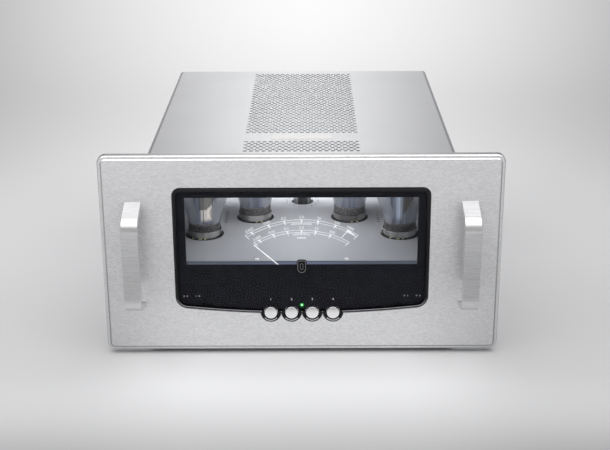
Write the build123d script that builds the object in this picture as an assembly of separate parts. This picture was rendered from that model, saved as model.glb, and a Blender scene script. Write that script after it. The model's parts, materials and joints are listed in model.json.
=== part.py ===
"""Mono valve power amplifier with a see-through meter window, as an assembly of separate parts.

Millimetres. The origin is the centre of the footprint on the surface it stands on.
+X is to the right seen from the front, +Y goes to the back, +Z up.
"""

from build123d import *
import math
import os

# Overall sizes
panel_width = 438.0
panel_height = 228.0
panel_thickness = 10.0
feet_height = 4.7
handle_reach = 38.0
body_depth = 445.0
connector_reach = 23.0

# Sheet-metal case
panel_overhang = 47.5
sheet = 2.0
rear_sheet = 2.5
case_lift = 2.5
cover_drop = 11.5
cover_skirt = 15.0
cover_round = 5.0
flange = 12.0
lip_height = 26.0
flange_gap = 4.0
lip_clearance = 2.0
lip_inset = 4.0
lip_gap = 0.3
rear_lip_overlap = 4.0

# Front panel details
panel_corner = 9.0
rim_width = 3.8
rim_step = 1.2
rim_round = 2.4
face_corner = 5.0
face_chamfer = 1.0
cutout_gap = 0.3
cutout_chamfer = 0.9

# Display: its outline is straight on top and at the sides, over a shallow arc
display_half_width = 139.0
display_top_drop = 36.9
display_low_drop = 182.7
display_arc_radius = 1175.0
display_top_corner = 8.0
display_low_corner = 13.0
bezel_width = 3.0
bezel_proud = 1.8
bezel_round = 1.1
bezel_flange = 3.0
bezel_flange_thickness = 2.0
bezel_ledge = 2.0
fit_gap = 0.15
glass_thickness = 3.0
glass_proud = 0.3
mask_thickness = 1.0
window_half_width = 127.0
window_top_drop = 48.1
window_low_drop = 126.1

# Buttons
button_count = 4
button_pitch = 23.06
button_drop = 182.0
button_radius = 7.0
button_gap = 0.35
button_proud = 2.4
button_length = 6.2
button_lip = 0.95
button_lip_thickness = 1.5
button_travel = 1.5
button_round = 0.5
button_crown = 0.45
button_core_inset = 1.0
lobe_wall = 4.3
stem_radius = 2.5
stem_gap = 0.7
switch_side = 7.0
switch_height = 3.2
switch_clearance = 0.3

# Control board behind the buttons
board_thickness = 1.6
control_board_offset = 8.3
control_board_half_width = 50.0
control_board_below = 10.5
control_board_above = 13.5
board_pillar_radius = 3.0

# Lamps in the display
led_radius = 1.5
led_drop = 174.4
monitor_led_radius = 0.9
monitor_led_offsets = (114.0, 127.5)
monitor_led_drop = 163.5
led_gap = 0.1

# Meter
pivot_drop = 150.4
needle_length = 70.0
needle_tail = 13.0
needle_root = 1.3
needle_tip = 0.7
needle_thickness = 0.5
needle_setback = 2.2
needle_rest_angle = 48.5
needle_hub_radius = 4.0
needle_hub_length = 2.0
pivot_pin_radius = 1.0
running_gap = 0.05
movement_radius = 17.0
movement_depth = 16.0
movement_flange_radius = 19.0
movement_flange = 1.5
movement_boss_radius = 2.5
scale_plate_thickness = 2.0
scale_plate_half_width = 133.0
badge_width = 11.0
badge_top_drop = 118.8
badge_low_drop = 135.0
badge_thickness = 1.2
badge_corner = 3.0
scale_lamp_offset = 50.0
scale_lamp_radius = 2.3
scale_lamp_height = 1.4
scale_lamp_setback = 3.5

# Handles
handle_width = 18.5
handle_bar = 7.0
handle_inset = 36.6
handle_top_drop = 51.5
handle_low_drop = 175.5
handle_slope = 16.5
handle_bend = 13.0
handle_edge = 0.8
handle_screw_offset = 5.0
handle_screw_grip = 6.0

# Deck and valves
deck_drop = 128.5
deck_setback = 20.0
deck_rear_room = 150.0
deck_flange = 14.0
valve_side_room = 56.5
valve_front_setback = 107.0
valve_back_setback = 165.0
collar_radius = 20.0
collar_gap = 1.4
collar_rise = 8.5
collar_wall = 1.1
bulb_radius = 31.0
bulb_height = 107.0
bulb_wall = 1.2
bulb_neck = 1.5
bulb_dome = 0.37
glass_stem_radius = 7.5
stem_height = 10.0
low_mica_radius = 15.5
top_mica_radius = 19.0
mica_thickness = 1.0
anode_width = 33.0
anode_depth = 14.0
anode_height = 52.0
anode_corner = 5.0
anode_fin_width = 10.0
anode_fin_depth = 22.0
getter_stem_radius = 3.0
getter_height = 9.0
driver_setbacks = (224.0, 266.0)
driver_radius = 11.0
driver_gap = 2.7
driver_height = 54.0
driver_round = 6.0
driver_tip = (2.4, 0.7, 4.0)
driver_tip_sink = 0.6
driver_anode_radius = 7.0
driver_anode_height = 30.0
driver_mica_radius = 8.5
driver_vent_margin = 6.3
driver_vent_radius = 1.2
driver_vents = 16
slot_side_room = 79.5
slot_first = 147.0
slot_pitch = 7.4
slot_count = 6
slot_length = 5.0
slot_width = 2.2
slot_slant = 20.0

# Valve board under the deck
valve_board_gap = 23.4
valve_board_side_gap = 19.5
valve_board_margin = 45.0
valve_board_end = 8.0
pillar_margin = 10.0
spacer_size = 3.6
spacer_thread = 8.0
base_slots = 9
base_slot_first = 20.0
base_slot_pitch = 14.0
base_slot_length = 14.0
base_slot_width = 4.0
socket_inset = 1.0
socket_height = 10.0
octal_pins = 8
octal_ring = 8.75
octal_pin_radius = 1.2
octal_pin_length = 8.0
spigot_radius = 3.9
driver_socket_margin = 0.5
driver_socket_height = 7.4
noval_pins = 9
noval_ring = 5.95
noval_pin_radius = 0.6
noval_pin_length = 6.0
pin_gap = 0.1
pin_end_room = 0.8

# Supply board, capacitors and transformers
supply_board_lift = 8.0
supply_margin = 18.0
supply_setback = 65.0
supply_end_room = 15.0
supply_pillar_inset = 8.0
can_radius = 22.0
can_head_room = 5.4
can_round = 2.0
can_rim = 3.0
can_well = 0.8
can_boss_radius = 5.0
can_pitch_x = 60.0
can_pitch_y = 63.0
can_columns = 3
can_rows = 2
core_width = 120.0
core_height = 100.0
core_stack = 50.0
core_leg = 40.0
core_yoke = 20.0
winding_build = 18.0
winding_gap = 0.3
winding_corner = 8.0
core_screw_length = 14.0
transformer_side_room = 88.5
transformer_rear_room = 87.5

# Fans
fan_side = 80.0
fan_depth = 25.0
fan_side_room = 63.5
fan_drop = 46.0
fan_bore = 38.0
fan_tip_gap = 1.5
fan_hub = 16.0
fan_pin = 1.5
fan_blades = 7
fan_blade_pitch = 35.0
fan_blade_chord = 18.0
fan_blade_thickness = 1.6
fan_strut = 3.0
fan_strut_width = 4.0
fan_corner = 4.0
fan_hub_lip = 1.0
fan_blade_root = 1.5
fan_screw_depth = 11.0
fan_rotor_gap = 0.5
fan_rotor_back = 3.0
fan_screw_spacing = 71.5
guard_thickness = 2.0
guard_wire = 2.0
guard_rings = (12.0, 20.0, 28.0, 36.0)

# Rear connectors
connector_rise = 45.0
inlet_side_room = 43.5
inlet_width = 24.6
inlet_height = 17.0
inlet_wall = 1.6
inlet_depth = 20.0
inlet_flange_width = 50.0
inlet_flange = 3.0
inlet_blade_length = 14.0
inlet_back = 2.0
inlet_blade = (2.0, 4.8)
inlet_blade_tail = 6.0
inlet_blade_offsets = ((-7.0, -2.0), (7.0, -2.0), (0.0, 2.0))
inlet_screw_offset = 20.0
inlet_corner = 4.0
fuse_side_room = 87.5
fuse_radius = 8.0
fuse_cap_radius = 6.6
fuse_stem_radius = 5.0
fuse_stem_gap = 0.08
fuse_body_length = 30.0
fuse_rim = (1.6, 2.0)
fuse_bore_depth = 22.0
fuse_cap_length = 7.0
fuse_stem_length = 18.0
fuse_knurls = 16
fuse_knurl_radius = 0.6
fuse_coin_slot = (9.0, 1.4, 1.6)
trigger_side_rooms = (133.5, 117.5)
trigger_bore = 1.78
trigger_depth = 15.0
trigger_body = (12.0, 14.0, 12.0)
trigger_neck_radius = 3.0
trigger_neck = 3.0
trigger_nut = (4.8, 2.0)
rca_side_room = 167.5
rca_radius = 4.15
rca_length = 10.0
rca_collar = (7.0, 2.0)
rca_tail = 10.0
rca_nut = (7.5, 3.0)
rca_contact = (1.65, 9.0)
xlr_side_room = 209.5
xlr_width = 26.0
xlr_height = 31.0
xlr_radius = 11.8
xlr_depth = 22.0
xlr_corner = 3.0
xlr_groove = (9.6, 7.8, 14.0)
xlr_contacts = (4.4, 1.3, 12.0)
xlr_screw_offset = (9.5, 12.0)
post_side_room = 27.5
post_pitch = 20.0
post_count = 4
post_stud_radius = 3.0
post_bore = 2.0
post_bore_depth = 16.0
post_base_radius = 8.0
post_base = 3.5
post_nut_radius = 7.0
post_nut_length = 13.5
post_nut_setback = 1.8
post_nut_flats = 12
post_nut_chamfer = 0.6
post_flute_radius = 1.0
post_collar = 1.0
post_tail = 14.0
post_lock_nut = (7.0, 3.0)
panel_hole_gap = 0.15

# Cover perforation and label plate
hole_radius = 2.4
hole_pitch = 7.0
holes_per_row = 19
front_rows = 7
front_block_centre = 74.2
rear_block_start = 127.0
rear_block_margin = 19.4
label_width = 70.0
label_depth = 16.5
label_thickness = 0.9
label_centre = 111.2

# Feet
foot_radius = 22.0
foot_taper = 2.0
foot_side_room = 26.5
foot_setback = 48.0
foot_recess_radius = 6.0
foot_recess_depth = 3.3

# Fasteners: thread radius, head radius, head height, socket radius
M3 = (1.5, 2.8, 1.7, 1.1)
M4 = (2.0, 3.6, 2.2, 1.4)
M5 = (2.5, 4.4, 2.8, 1.8)
thread_gap = 0.05
clear_gap = 0.25
nut_height = 4.0
panel_screw_grip = 6.0
screw_end_gap = 0.5
screw_margin = 19.5
head_recess = 1.0

# Heights and depths that follow from the sizes above
panel_low = feet_height
panel_top = panel_low + panel_height
overall_depth = handle_reach + body_depth + connector_reach
face_y = handle_reach - overall_depth / 2
rim_y = face_y + rim_step
panel_back = face_y + panel_thickness
subpanel_back = panel_back + sheet
rear_face = face_y + body_depth
rear_inner = rear_face - rear_sheet
connector_end = rear_face + connector_reach

case_width = panel_width - 2 * panel_overhang
case_half = case_width / 2
case_inner = case_half - sheet
case_low = panel_low + case_lift
base_top = case_low + sheet
cover_top = panel_top - cover_drop
cover_inner = cover_top - sheet
cover_low = cover_top - cover_skirt
lip_top = cover_inner - (cover_round - sheet) - lip_gap
lip_low = lip_top - lip_height
cover_screw_z = (cover_low + lip_top) / 2
flange_screw_z = base_top + flange * 0.6

flange_screw_x = case_inner - screw_margin
flange_screw_xs = [-flange_screw_x, -flange_screw_x / 3, flange_screw_x / 3, flange_screw_x]

deck_top = panel_top - deck_drop
deck_under = deck_top - sheet
deck_front = face_y + deck_setback
deck_back = rear_face - deck_rear_room
board_top = deck_under - valve_board_gap
board_low = board_top - board_thickness
socket_top = board_top + socket_height
collar_top = deck_top + collar_rise
glass_low = collar_top - collar_rise * 0.75
bulb_top = deck_top + bulb_height
supply_low = base_top + supply_board_lift
supply_top = supply_low + board_thickness
can_height = board_low - supply_top - can_head_room
supply_half_width = can_pitch_x * (can_columns - 1) / 2 + can_radius + supply_margin
supply_front = face_y + supply_setback
can_first_y = supply_front + can_radius + supply_margin / 2
supply_back = can_first_y + can_pitch_y * (can_rows - 1) + can_radius + supply_margin / 2 + supply_end_room

valve_x = case_half - valve_side_room
valve_places = [
    (-valve_x, valve_front_setback),
    (-valve_x / 2, valve_back_setback),
    (valve_x / 2, valve_back_setback),
    (valve_x, valve_front_setback),
]
valve_hole_radius = collar_radius + collar_gap
driver_places = [(0.0, setback) for setback in driver_setbacks]
driver_hole_radius = driver_radius + driver_gap
driver_vent_ring = driver_hole_radius + driver_vent_margin
slot_offset = case_half - slot_side_room
socket_radius = collar_radius - socket_inset
driver_socket_radius = driver_radius + driver_socket_margin
valve_board_half_width = case_inner - valve_board_side_gap
valve_board_front = deck_front + valve_board_margin
valve_board_back = deck_back - valve_board_end

display_top = panel_top - display_top_drop
display_low = panel_top - display_low_drop
window_top = panel_top - window_top_drop
window_low = panel_top - window_low_drop
bezel_front = face_y - bezel_proud
bezel_back = panel_back - bezel_flange_thickness
glass_front = face_y - glass_proud
glass_back = glass_front + glass_thickness
mask_back = glass_back + mask_thickness

handle_offset = panel_width / 2 - handle_inset
lobe_radius = button_radius + lobe_wall
button_z = panel_top - button_drop
control_board_low = button_z - control_board_below
control_board_high = button_z + control_board_above
button_xs = [(i - (button_count - 1) / 2) * button_pitch for i in range(button_count)]
button_front = face_y - button_proud
button_hole = button_radius + button_gap
board_front = subpanel_back + control_board_offset
switch_front = board_front - switch_height
stem_end = switch_front - button_travel - switch_clearance
led_z = panel_top - led_drop
monitor_led_z = panel_top - monitor_led_drop

pivot_z = panel_top - pivot_drop
scale_front = panel_back - scale_plate_thickness
hub_front = mask_back + needle_setback
hub_back = hub_front + needle_hub_length

foot_offset_x = case_half - foot_side_room
connector_z = base_top + connector_rise
trigger_x = [case_half - room for room in trigger_side_rooms]
rca_x = case_half - rca_side_room
xlr_x = case_half - xlr_side_room
post_xs = [post_side_room - case_half + (post_count - 1 - i) * post_pitch for i in range(post_count)]
inlet_x = case_half - inlet_side_room
fuse_x = case_half - fuse_side_room
fan_front = rear_inner - fan_depth
fan_offset = case_half - fan_side_room
fan_z = cover_low - fan_drop
transformer_offset = case_half - transformer_side_room
transformer_y = rear_inner - transformer_rear_room

row_pitch = hole_pitch * math.sqrt(3) / 2
rear_rows = int((body_depth - rear_block_start - rear_block_margin - 2 * hole_radius) / row_pitch) + 1
rear_block_centre = (rear_block_start + body_depth - rear_block_margin) / 2

UP = (Align.CENTER, Align.CENTER, Align.MIN)
DOWN = (Align.CENTER, Align.CENTER, Align.MAX)
TURNS = {
    "+z": (0, 0, 0),
    "-z": (180, 0, 0),
    "+y": (-90, 0, 0),
    "-y": (90, 0, 0),
    "+x": (0, 90, 0),
    "-x": (0, -90, 0),
}


def block(x0, x1, y0, y1, z0, z1):
    """A box between two corners."""
    middle = Pos((x0 + x1) / 2, (y0 + y1) / 2, (z0 + z1) / 2)
    return middle * Box(x1 - x0, y1 - y0, z1 - z0)


def aim(direction, x, y, z):
    """The place and turn that carry +Z onto a main direction at a point."""
    return Pos(x, y, z) * Rot(*TURNS[direction])


def rod(direction, x, y, z, radius, length):
    """A cylinder that starts at a point and runs along a main direction."""
    return aim(direction, x, y, z) * Cylinder(radius, length, align=UP)


def tube(direction, x, y, z, outer, inner, length):
    """A rod with a bore right through it."""
    return rod(direction, x, y, z, outer, length) - rod(direction, x, y, z, inner, length)


def slab(sketch, y0, y1):
    """A sketch drawn in X and Z, given its thickness from y0 back to y1."""
    return Pos(0, y1, 0) * Rot(90, 0, 0) * extrude(sketch, amount=y1 - y0)


def screw(direction, x, y, z, length, size):
    """A socket-head screw whose thread runs along the direction from under its head."""
    thread, head, head_height, socket = size
    body = Cylinder(thread, length, align=UP) + Cylinder(head, head_height, align=DOWN)
    drive = extrude(RegularPolygon(socket, 6), amount=head_height * 0.6)
    return aim(direction, x, y, z) * (body - Pos(0, 0, -head_height) * drive)


def hex_nut(direction, x, y, z, size, height):
    """A hexagonal nut around a screw, with its near face at the point."""
    body = extrude(RegularPolygon(size[0] * 1.9, 6), amount=height)
    return aim(direction, x, y, z) * (body - Cylinder(size[0] + thread_gap, height, align=UP))


def union(shapes):
    """One shape from a list of shapes that meet."""
    total = shapes[0]
    for shape in shapes[1:]:
        total = total + shape
    return total


def main_outline(grow):
    """The display's outline without its lobes, larger all round by grow."""
    half = display_half_width + grow
    top = display_top + grow
    tall = 2 * (display_top - display_low)
    blank = Pos(0, top - tall / 2) * Rectangle(2 * half, tall)
    arc = Pos(0, display_low + display_arc_radius) * Circle(display_arc_radius + grow)
    shape = blank & arc
    corners = shape.vertices().sort_by(Axis.Y)
    shape = fillet(corners[:2], display_low_corner + grow)
    corners = shape.vertices().sort_by(Axis.Y)
    return fillet(corners[-2:], display_top_corner + grow)


def lobes(radius):
    """A disc around each button, in the plane of the panel."""
    return union([Pos(x, button_z) * Circle(radius) for x in button_xs])


def display_outline(grow):
    """The display's outline with a lobe around each button."""
    return main_outline(grow) + lobes(lobe_radius + grow)


def panel_screw_places():
    """Where screws from inside hold the front panel: x, z, and the face under the head."""
    places = []
    for x in flange_screw_xs:
        places.append((x, flange_screw_z, subpanel_back + sheet))
        places.append((x, (cover_inner + window_top) / 2, subpanel_back))
    return places


def handle_screw_places():
    """Where screws from behind the panel hold the handles."""
    drop = math.tan(math.radians(handle_slope)) * handle_screw_grip / 2
    half_bar = handle_bar / math.cos(math.radians(handle_slope)) / 2
    top = panel_top - handle_top_drop - half_bar - drop
    low = panel_top - handle_low_drop + half_bar + drop
    centres = (-handle_offset, handle_offset)
    return [(x + s * handle_screw_offset, z) for x in centres for z in (top, low) for s in (-1, 1)]


def make_front_panel():
    """Thick panel: a lower rim around a raised face, with the display's cut-out."""
    middle = Pos(0, panel_low + panel_height / 2)
    outer = slab(middle * RectangleRounded(panel_width, panel_height, panel_corner), rim_y, panel_back)
    outer = fillet(outer.faces().sort_by(Axis.Y)[0].edges(), rim_round)
    face_width = panel_width - 2 * rim_width
    face_height = panel_height - 2 * rim_width
    raised = slab(middle * RectangleRounded(face_width, face_height, face_corner), face_y, panel_back)
    raised = chamfer(raised.faces().sort_by(Axis.Y)[0].edges(), face_chamfer)
    hole = slab(main_outline(cutout_gap), face_y, panel_back)
    mouth_outline = main_outline(cutout_gap + cutout_chamfer)
    bevel = slab(mouth_outline, face_y - cutout_chamfer, face_y + cutout_chamfer)
    bevel = chamfer(bevel.faces().sort_by(Axis.Y)[-1].edges(), cutout_chamfer * 0.999)
    panel = outer + raised - hole - bevel
    rebate = slab(main_outline(bezel_flange + cutout_gap), bezel_back - cutout_gap, panel_back)
    panel = panel - rebate
    for x in button_xs:
        round_hole = Cylinder(lobe_radius + cutout_gap, panel_thickness, align=UP)
        mouth = Cone(
            lobe_radius + cutout_gap, lobe_radius + cutout_gap + cutout_chamfer, cutout_chamfer, align=DOWN
        )
        panel = panel - aim("-y", x, panel_back, button_z) * round_hole
        panel = panel - aim("-y", x, face_y, button_z) * mouth
    for x, z, _ in panel_screw_places():
        panel = panel - rod("-y", x, panel_back, z, M4[0] + thread_gap, panel_screw_grip + screw_end_gap)
    for x, z in handle_screw_places():
        panel = panel - rod("-y", x, panel_back, z, M4[0] + clear_gap, panel_thickness)
        panel = panel - rod("-y", x, panel_back, z, M4[1] + clear_gap, M4[2] + head_recess)
    return panel


def front_flange_spans():
    """Lowest and highest Z of the subpanel's two flanges at each side."""
    below_deck = (base_top + flange + flange_gap, deck_top - deck_flange - flange_gap)
    return [below_deck, (deck_top + flange_gap, lip_low - lip_clearance)]


def make_front_subpanel():
    """Sheet behind the front panel, with side flanges, the window and the button holes."""
    sheet_face = Pos(0, (case_low + cover_inner) / 2) * Rectangle(2 * case_inner, cover_inner - case_low)
    opening_half = window_half_width + sheet
    opening_low = deck_top + sheet
    opening_high = window_top + sheet
    middle = Pos(0, (opening_low + opening_high) / 2)
    opening = middle * Rectangle(2 * opening_half, opening_high - opening_low)
    sheet_face = fillet(sheet_face.vertices().sort_by(Axis.Y)[-2:], cover_round)
    panel = slab(sheet_face - opening, panel_back, subpanel_back)
    for side in (-1, 1):
        inner, outer = sorted((side * (case_inner - sheet), side * case_inner))
        for low, high in front_flange_spans():
            panel = panel + block(inner, outer, panel_back, subpanel_back + flange, low, high)
            hole = rod("+x", inner, subpanel_back + flange / 2, (low + high) / 2, M3[0] + thread_gap, sheet)
            panel = panel - hole
    panel = panel - rod("+y", 0, panel_back, pivot_z, movement_radius + clear_gap, sheet)
    for x in button_xs:
        panel = panel - rod("+y", x, panel_back, button_z, stem_radius + stem_gap, sheet)
    panel = panel - rod("+y", 0, panel_back, led_z, led_radius + clear_gap, sheet)
    for x, z, _ in panel_screw_places():
        panel = panel - rod("+y", x, panel_back, z, M4[0] + clear_gap, sheet)
    return panel


def make_handle(side):
    """Bowed bar handle: two splayed legs and a straight grip, drilled for its screws."""
    slope = math.tan(math.radians(handle_slope))
    half_bar = handle_bar / math.cos(math.radians(handle_slope)) / 2
    top = panel_top - handle_top_drop - half_bar
    low = panel_top - handle_low_drop + half_bar
    reach = handle_reach - handle_bar / 2
    spare = 10.0
    line = FilletPolyline(
        (-spare, top + spare * slope),
        (reach, top - reach * slope),
        (reach, low + reach * slope),
        (-spare, low - spare * slope),
        radius=handle_bend,
    )
    profile = trace(line, line_width=handle_bar)
    bar = extrude(profile, amount=handle_width / 2, both=True)
    bar = Pos(side * handle_offset, face_y, 0) * Rot(90, 0, 0) * Rot(0, -90, 0) * bar
    width = handle_width + 2
    trim = block(-width, width, face_y, face_y + 3 * spare, low - 4 * spare, top + 4 * spare)
    bar = bar - Pos(side * handle_offset, 0, 0) * trim
    boxes = [(edge, edge.bounding_box()) for edge in bar.edges()]
    long_edges = [edge for edge, box in boxes if box.size.X < 0.01 and box.min.Y < face_y - 0.1]
    bar = fillet(long_edges, handle_edge)
    for x, z in handle_screw_places():
        if x * side > 0:
            bar = bar - rod("-y", x, face_y, z, M4[0] + thread_gap, handle_screw_grip)
    return bar


def make_window_bezel():
    """Rounded rim around the display and its lobes, with a ledge behind the glass."""
    rim = slab(main_outline(0), bezel_front, bezel_back)
    rim = fillet(rim.faces().sort_by(Axis.Y)[0].edges(), bezel_round)
    for x in button_xs:
        lobe = rod("-y", x, bezel_back, button_z, lobe_radius, bezel_back - bezel_front)
        rim = rim + fillet(lobe.faces().sort_by(Axis.Y)[0].edges(), bezel_round)
    skirt = slab(main_outline(bezel_flange), bezel_back, panel_back)
    inner = main_outline(-bezel_width) + lobes(lobe_radius - bezel_width)
    opening = slab(inner, bezel_front, mask_back)
    ledge = main_outline(-bezel_width - bezel_ledge) + lobes(lobe_radius - bezel_width)
    return rim + skirt - opening - slab(ledge, mask_back, panel_back)


def make_display_glass():
    """Clear front plate with holes for the buttons."""
    outline = main_outline(-bezel_width - fit_gap) + lobes(lobe_radius - bezel_width - fit_gap)
    return slab(outline - lobes(button_hole), glass_front, glass_back)


def window_shape():
    """The clear window's outline."""
    middle = Pos(0, (window_top + window_low) / 2)
    return middle * Rectangle(2 * window_half_width, window_top - window_low)


def make_display_mask():
    """Black plate behind the glass, open at the window, the buttons and the lamps."""
    outline = main_outline(-bezel_width - fit_gap) + lobes(lobe_radius - bezel_width - fit_gap)
    outline = outline - lobes(button_hole) - window_shape()
    outline = outline - Pos(0, led_z) * Circle(led_radius + led_gap)
    for side in (-1, 1):
        for offset in monitor_led_offsets:
            outline = outline - Pos(side * offset, monitor_led_z) * Circle(monitor_led_radius + led_gap)
    return slab(outline, glass_back, mask_back)


def make_pivot_badge():
    """Tab on the glass that hides the needle's pivot."""
    height = badge_low_drop - badge_top_drop
    middle = Pos(0, panel_top - (badge_top_drop + badge_low_drop) / 2)
    outline = middle * RectangleRounded(badge_width, height, badge_corner)
    tab = slab(outline, glass_front - badge_thickness, glass_front)
    return fillet(tab.faces().sort_by(Axis.Y)[0].edges(), 0.4)


def make_meter_scale_plate():
    """Clear plate in front of the opening, which carries the meter's scale."""
    low = deck_top - sheet
    high = window_top + 2 * sheet
    middle = Pos(0, (low + high) / 2)
    plate = slab(middle * Rectangle(2 * scale_plate_half_width, high - low), scale_front, panel_back)
    return plate - rod("+y", 0, scale_front, pivot_z, movement_flange_radius + 1.0, scale_plate_thickness)


def make_meter_movement():
    """Moving-coil case with its flange and the pivot pin that carries the needle."""
    case = rod("+y", 0, panel_back, pivot_z, movement_radius, movement_depth)
    case = case + rod("-y", 0, panel_back, pivot_z, movement_flange_radius, movement_flange)
    boss_length = panel_back - movement_flange - hub_back - 0.2
    case = case + rod("-y", 0, panel_back - movement_flange, pivot_z, movement_boss_radius, boss_length)
    return case + rod("-y", 0, panel_back, pivot_z, pivot_pin_radius, panel_back - hub_front + 0.5)


def make_meter_needle():
    """Tapered pointer with a counterweight tail and a bored hub."""
    pointer = Polygon(
        (-needle_root / 2, -needle_tail),
        (needle_root / 2, -needle_tail),
        (needle_root / 2, 0),
        (needle_tip / 2, needle_length),
        (-needle_tip / 2, needle_length),
        (-needle_root / 2, 0),
        align=None,
    )
    blade = slab(Rot(0, 0, needle_rest_angle) * pointer, hub_front, hub_front + needle_thickness)
    weight = rod("+y", 0, hub_front, 0, needle_root * 1.4, needle_hub_length)
    turn = Rot(0, -needle_rest_angle, 0)
    needle = blade + turn * Pos(0, 0, -needle_tail) * weight
    needle = needle + rod("+y", 0, hub_front, 0, needle_hub_radius, needle_hub_length)
    bore = rod("+y", 0, hub_front, 0, pivot_pin_radius + running_gap, needle_hub_length)
    return Pos(0, 0, pivot_z) * (needle - bore)


def make_scale_lamps():
    """Two small lamps on the deck's front edge that light the scale."""
    lamps = []
    for side in (-1, 1):
        x = side * scale_lamp_offset
        y = deck_front + scale_lamp_setback
        lamps.append(rod("+z", x, y, deck_top, scale_lamp_radius, scale_lamp_height))
    return lamps


def make_status_led():
    """Light guide from the control board to the hole in the mask."""
    return [rod("+y", 0, glass_back + led_gap, led_z, led_radius, board_front - glass_back - led_gap)]


def make_monitor_leds():
    """Small lamps at both sides of the display, seated on the subpanel."""
    lamps = []
    for side in (-1, 1):
        for offset in monitor_led_offsets:
            start = glass_back + led_gap
            length = panel_back - start
            lamps.append(rod("+y", side * offset, start, monitor_led_z, monitor_led_radius, length))
    return lamps


def make_button(x):
    """Push button: crowned cap, retaining lip behind the mask, and stem."""
    cap = rod("+y", x, button_front, button_z, button_radius, button_length)
    ball_radius = (button_radius**2 + button_crown**2) / (2 * button_crown)
    cap = cap & Pos(x, button_front + ball_radius, button_z) * Sphere(ball_radius)
    cap = fillet(cap.edges().filter_by(GeomType.CIRCLE).sort_by(Axis.Y)[0], button_round)
    lip_front = mask_back
    core_front = button_front + button_core_inset
    core_length = lip_front + button_lip_thickness - core_front
    cap = cap + rod("+y", x, core_front, button_z, button_radius, core_length)
    cap = cap + rod("+y", x, lip_front, button_z, button_radius + button_lip, button_lip_thickness)
    return cap + rod("+y", x, lip_front, button_z, stem_radius, stem_end - lip_front)


def make_button_switches():
    """One tactile switch behind each button."""
    half = switch_side / 2
    return [
        block(x - half, x + half, switch_front, board_front, button_z - half, button_z + half)
        for x in button_xs
    ]


def make_control_board():
    """Board that carries the switches, on four pillars from the subpanel."""
    half = control_board_half_width
    board_back = board_front + board_thickness
    board = block(-half, half, board_front, board_back, control_board_low, control_board_high)
    inset = board_pillar_radius + 1.0
    for x in (-half + inset, half - inset):
        for z in (control_board_low + inset, control_board_high - inset):
            board = board + rod("+y", x, subpanel_back, z, board_pillar_radius, control_board_offset)
    return board


def spread(start, end, count):
    """Evenly spaced values from start to end."""
    return [start + (end - start) * i / (count - 1) for i in range(count)]


def side_screw_places():
    """Screws through a side panel: y, z of each."""
    front = subpanel_back + sheet + screw_margin
    places = [(y, flange_screw_z) for y in spread(front, rear_inner - sheet - screw_margin, 4)]
    deck_ys = spread(deck_front + screw_margin, deck_back - screw_margin, 3)
    places += [(y, deck_top - sheet - (deck_flange - sheet) / 2) for y in deck_ys]
    return places + [(subpanel_back + flange / 2, (low + high) / 2) for low, high in front_flange_spans()]


def cover_screw_ys():
    """Screws through each side of the cover."""
    return spread(panel_back + 2 * screw_margin, rear_face - 2 * screw_margin, 3)


def make_base_plate():
    """Bottom tray with a low flange all round, vents and foot holes."""
    tray = block(-case_inner, case_inner, subpanel_back, rear_inner, case_low, base_top + flange)
    inside = block(
        -case_inner + sheet,
        case_inner - sheet,
        subpanel_back + sheet,
        rear_inner - sheet,
        base_top,
        base_top + flange + 1,
    )
    tray = tray - inside
    slot = Pos(0, 0, case_low) * Box(base_slot_length, base_slot_width, sheet, align=UP)
    for x in (-valve_x, valve_x):
        for row in range(base_slots):
            tray = tray - Pos(x, supply_front + base_slot_first + base_slot_pitch * row, 0) * slot
    for x, y in foot_places():
        tray = tray - rod("+z", x, y, case_low, M5[0] + clear_gap, sheet)
    for x, y in transformer_screw_places():
        tray = tray - rod("+z", x, y, case_low, M5[0] + clear_gap, sheet)
    for y, z in side_screw_places():
        if z == flange_screw_z:
            tray = tray - rod("+x", -case_half, y, z, M3[0] + thread_gap, case_width)
    for x, z, _ in panel_screw_places():
        if z == flange_screw_z:
            tray = tray - rod("+y", x, subpanel_back, z, M4[0] + clear_gap, sheet)
    for x in flange_screw_xs:
        tray = tray - rod("-y", x, rear_inner, flange_screw_z, M3[0] + thread_gap, sheet)
    return tray


def make_side_panel(side):
    """Side sheet with an inner lip that the cover's skirt slides over."""
    x0, x1 = sorted((side * case_half, side * case_inner))
    panel = block(x0, x1, panel_back, rear_inner, case_low, cover_low)
    lip0, lip1 = sorted((side * case_inner, side * (case_inner - sheet)))
    lip_front = subpanel_back + lip_inset
    panel = panel + block(lip0, lip1, lip_front, rear_inner - lip_inset, lip_low, lip_top)
    shell_low = min(x0, lip0)
    for y, z in side_screw_places():
        panel = panel - rod("+x", shell_low, y, z, M3[0] + clear_gap, 2 * sheet)
    for y in cover_screw_ys():
        panel = panel - rod("+x", shell_low, y, cover_screw_z, M3[0] + thread_gap, 2 * sheet)
    return panel


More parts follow.
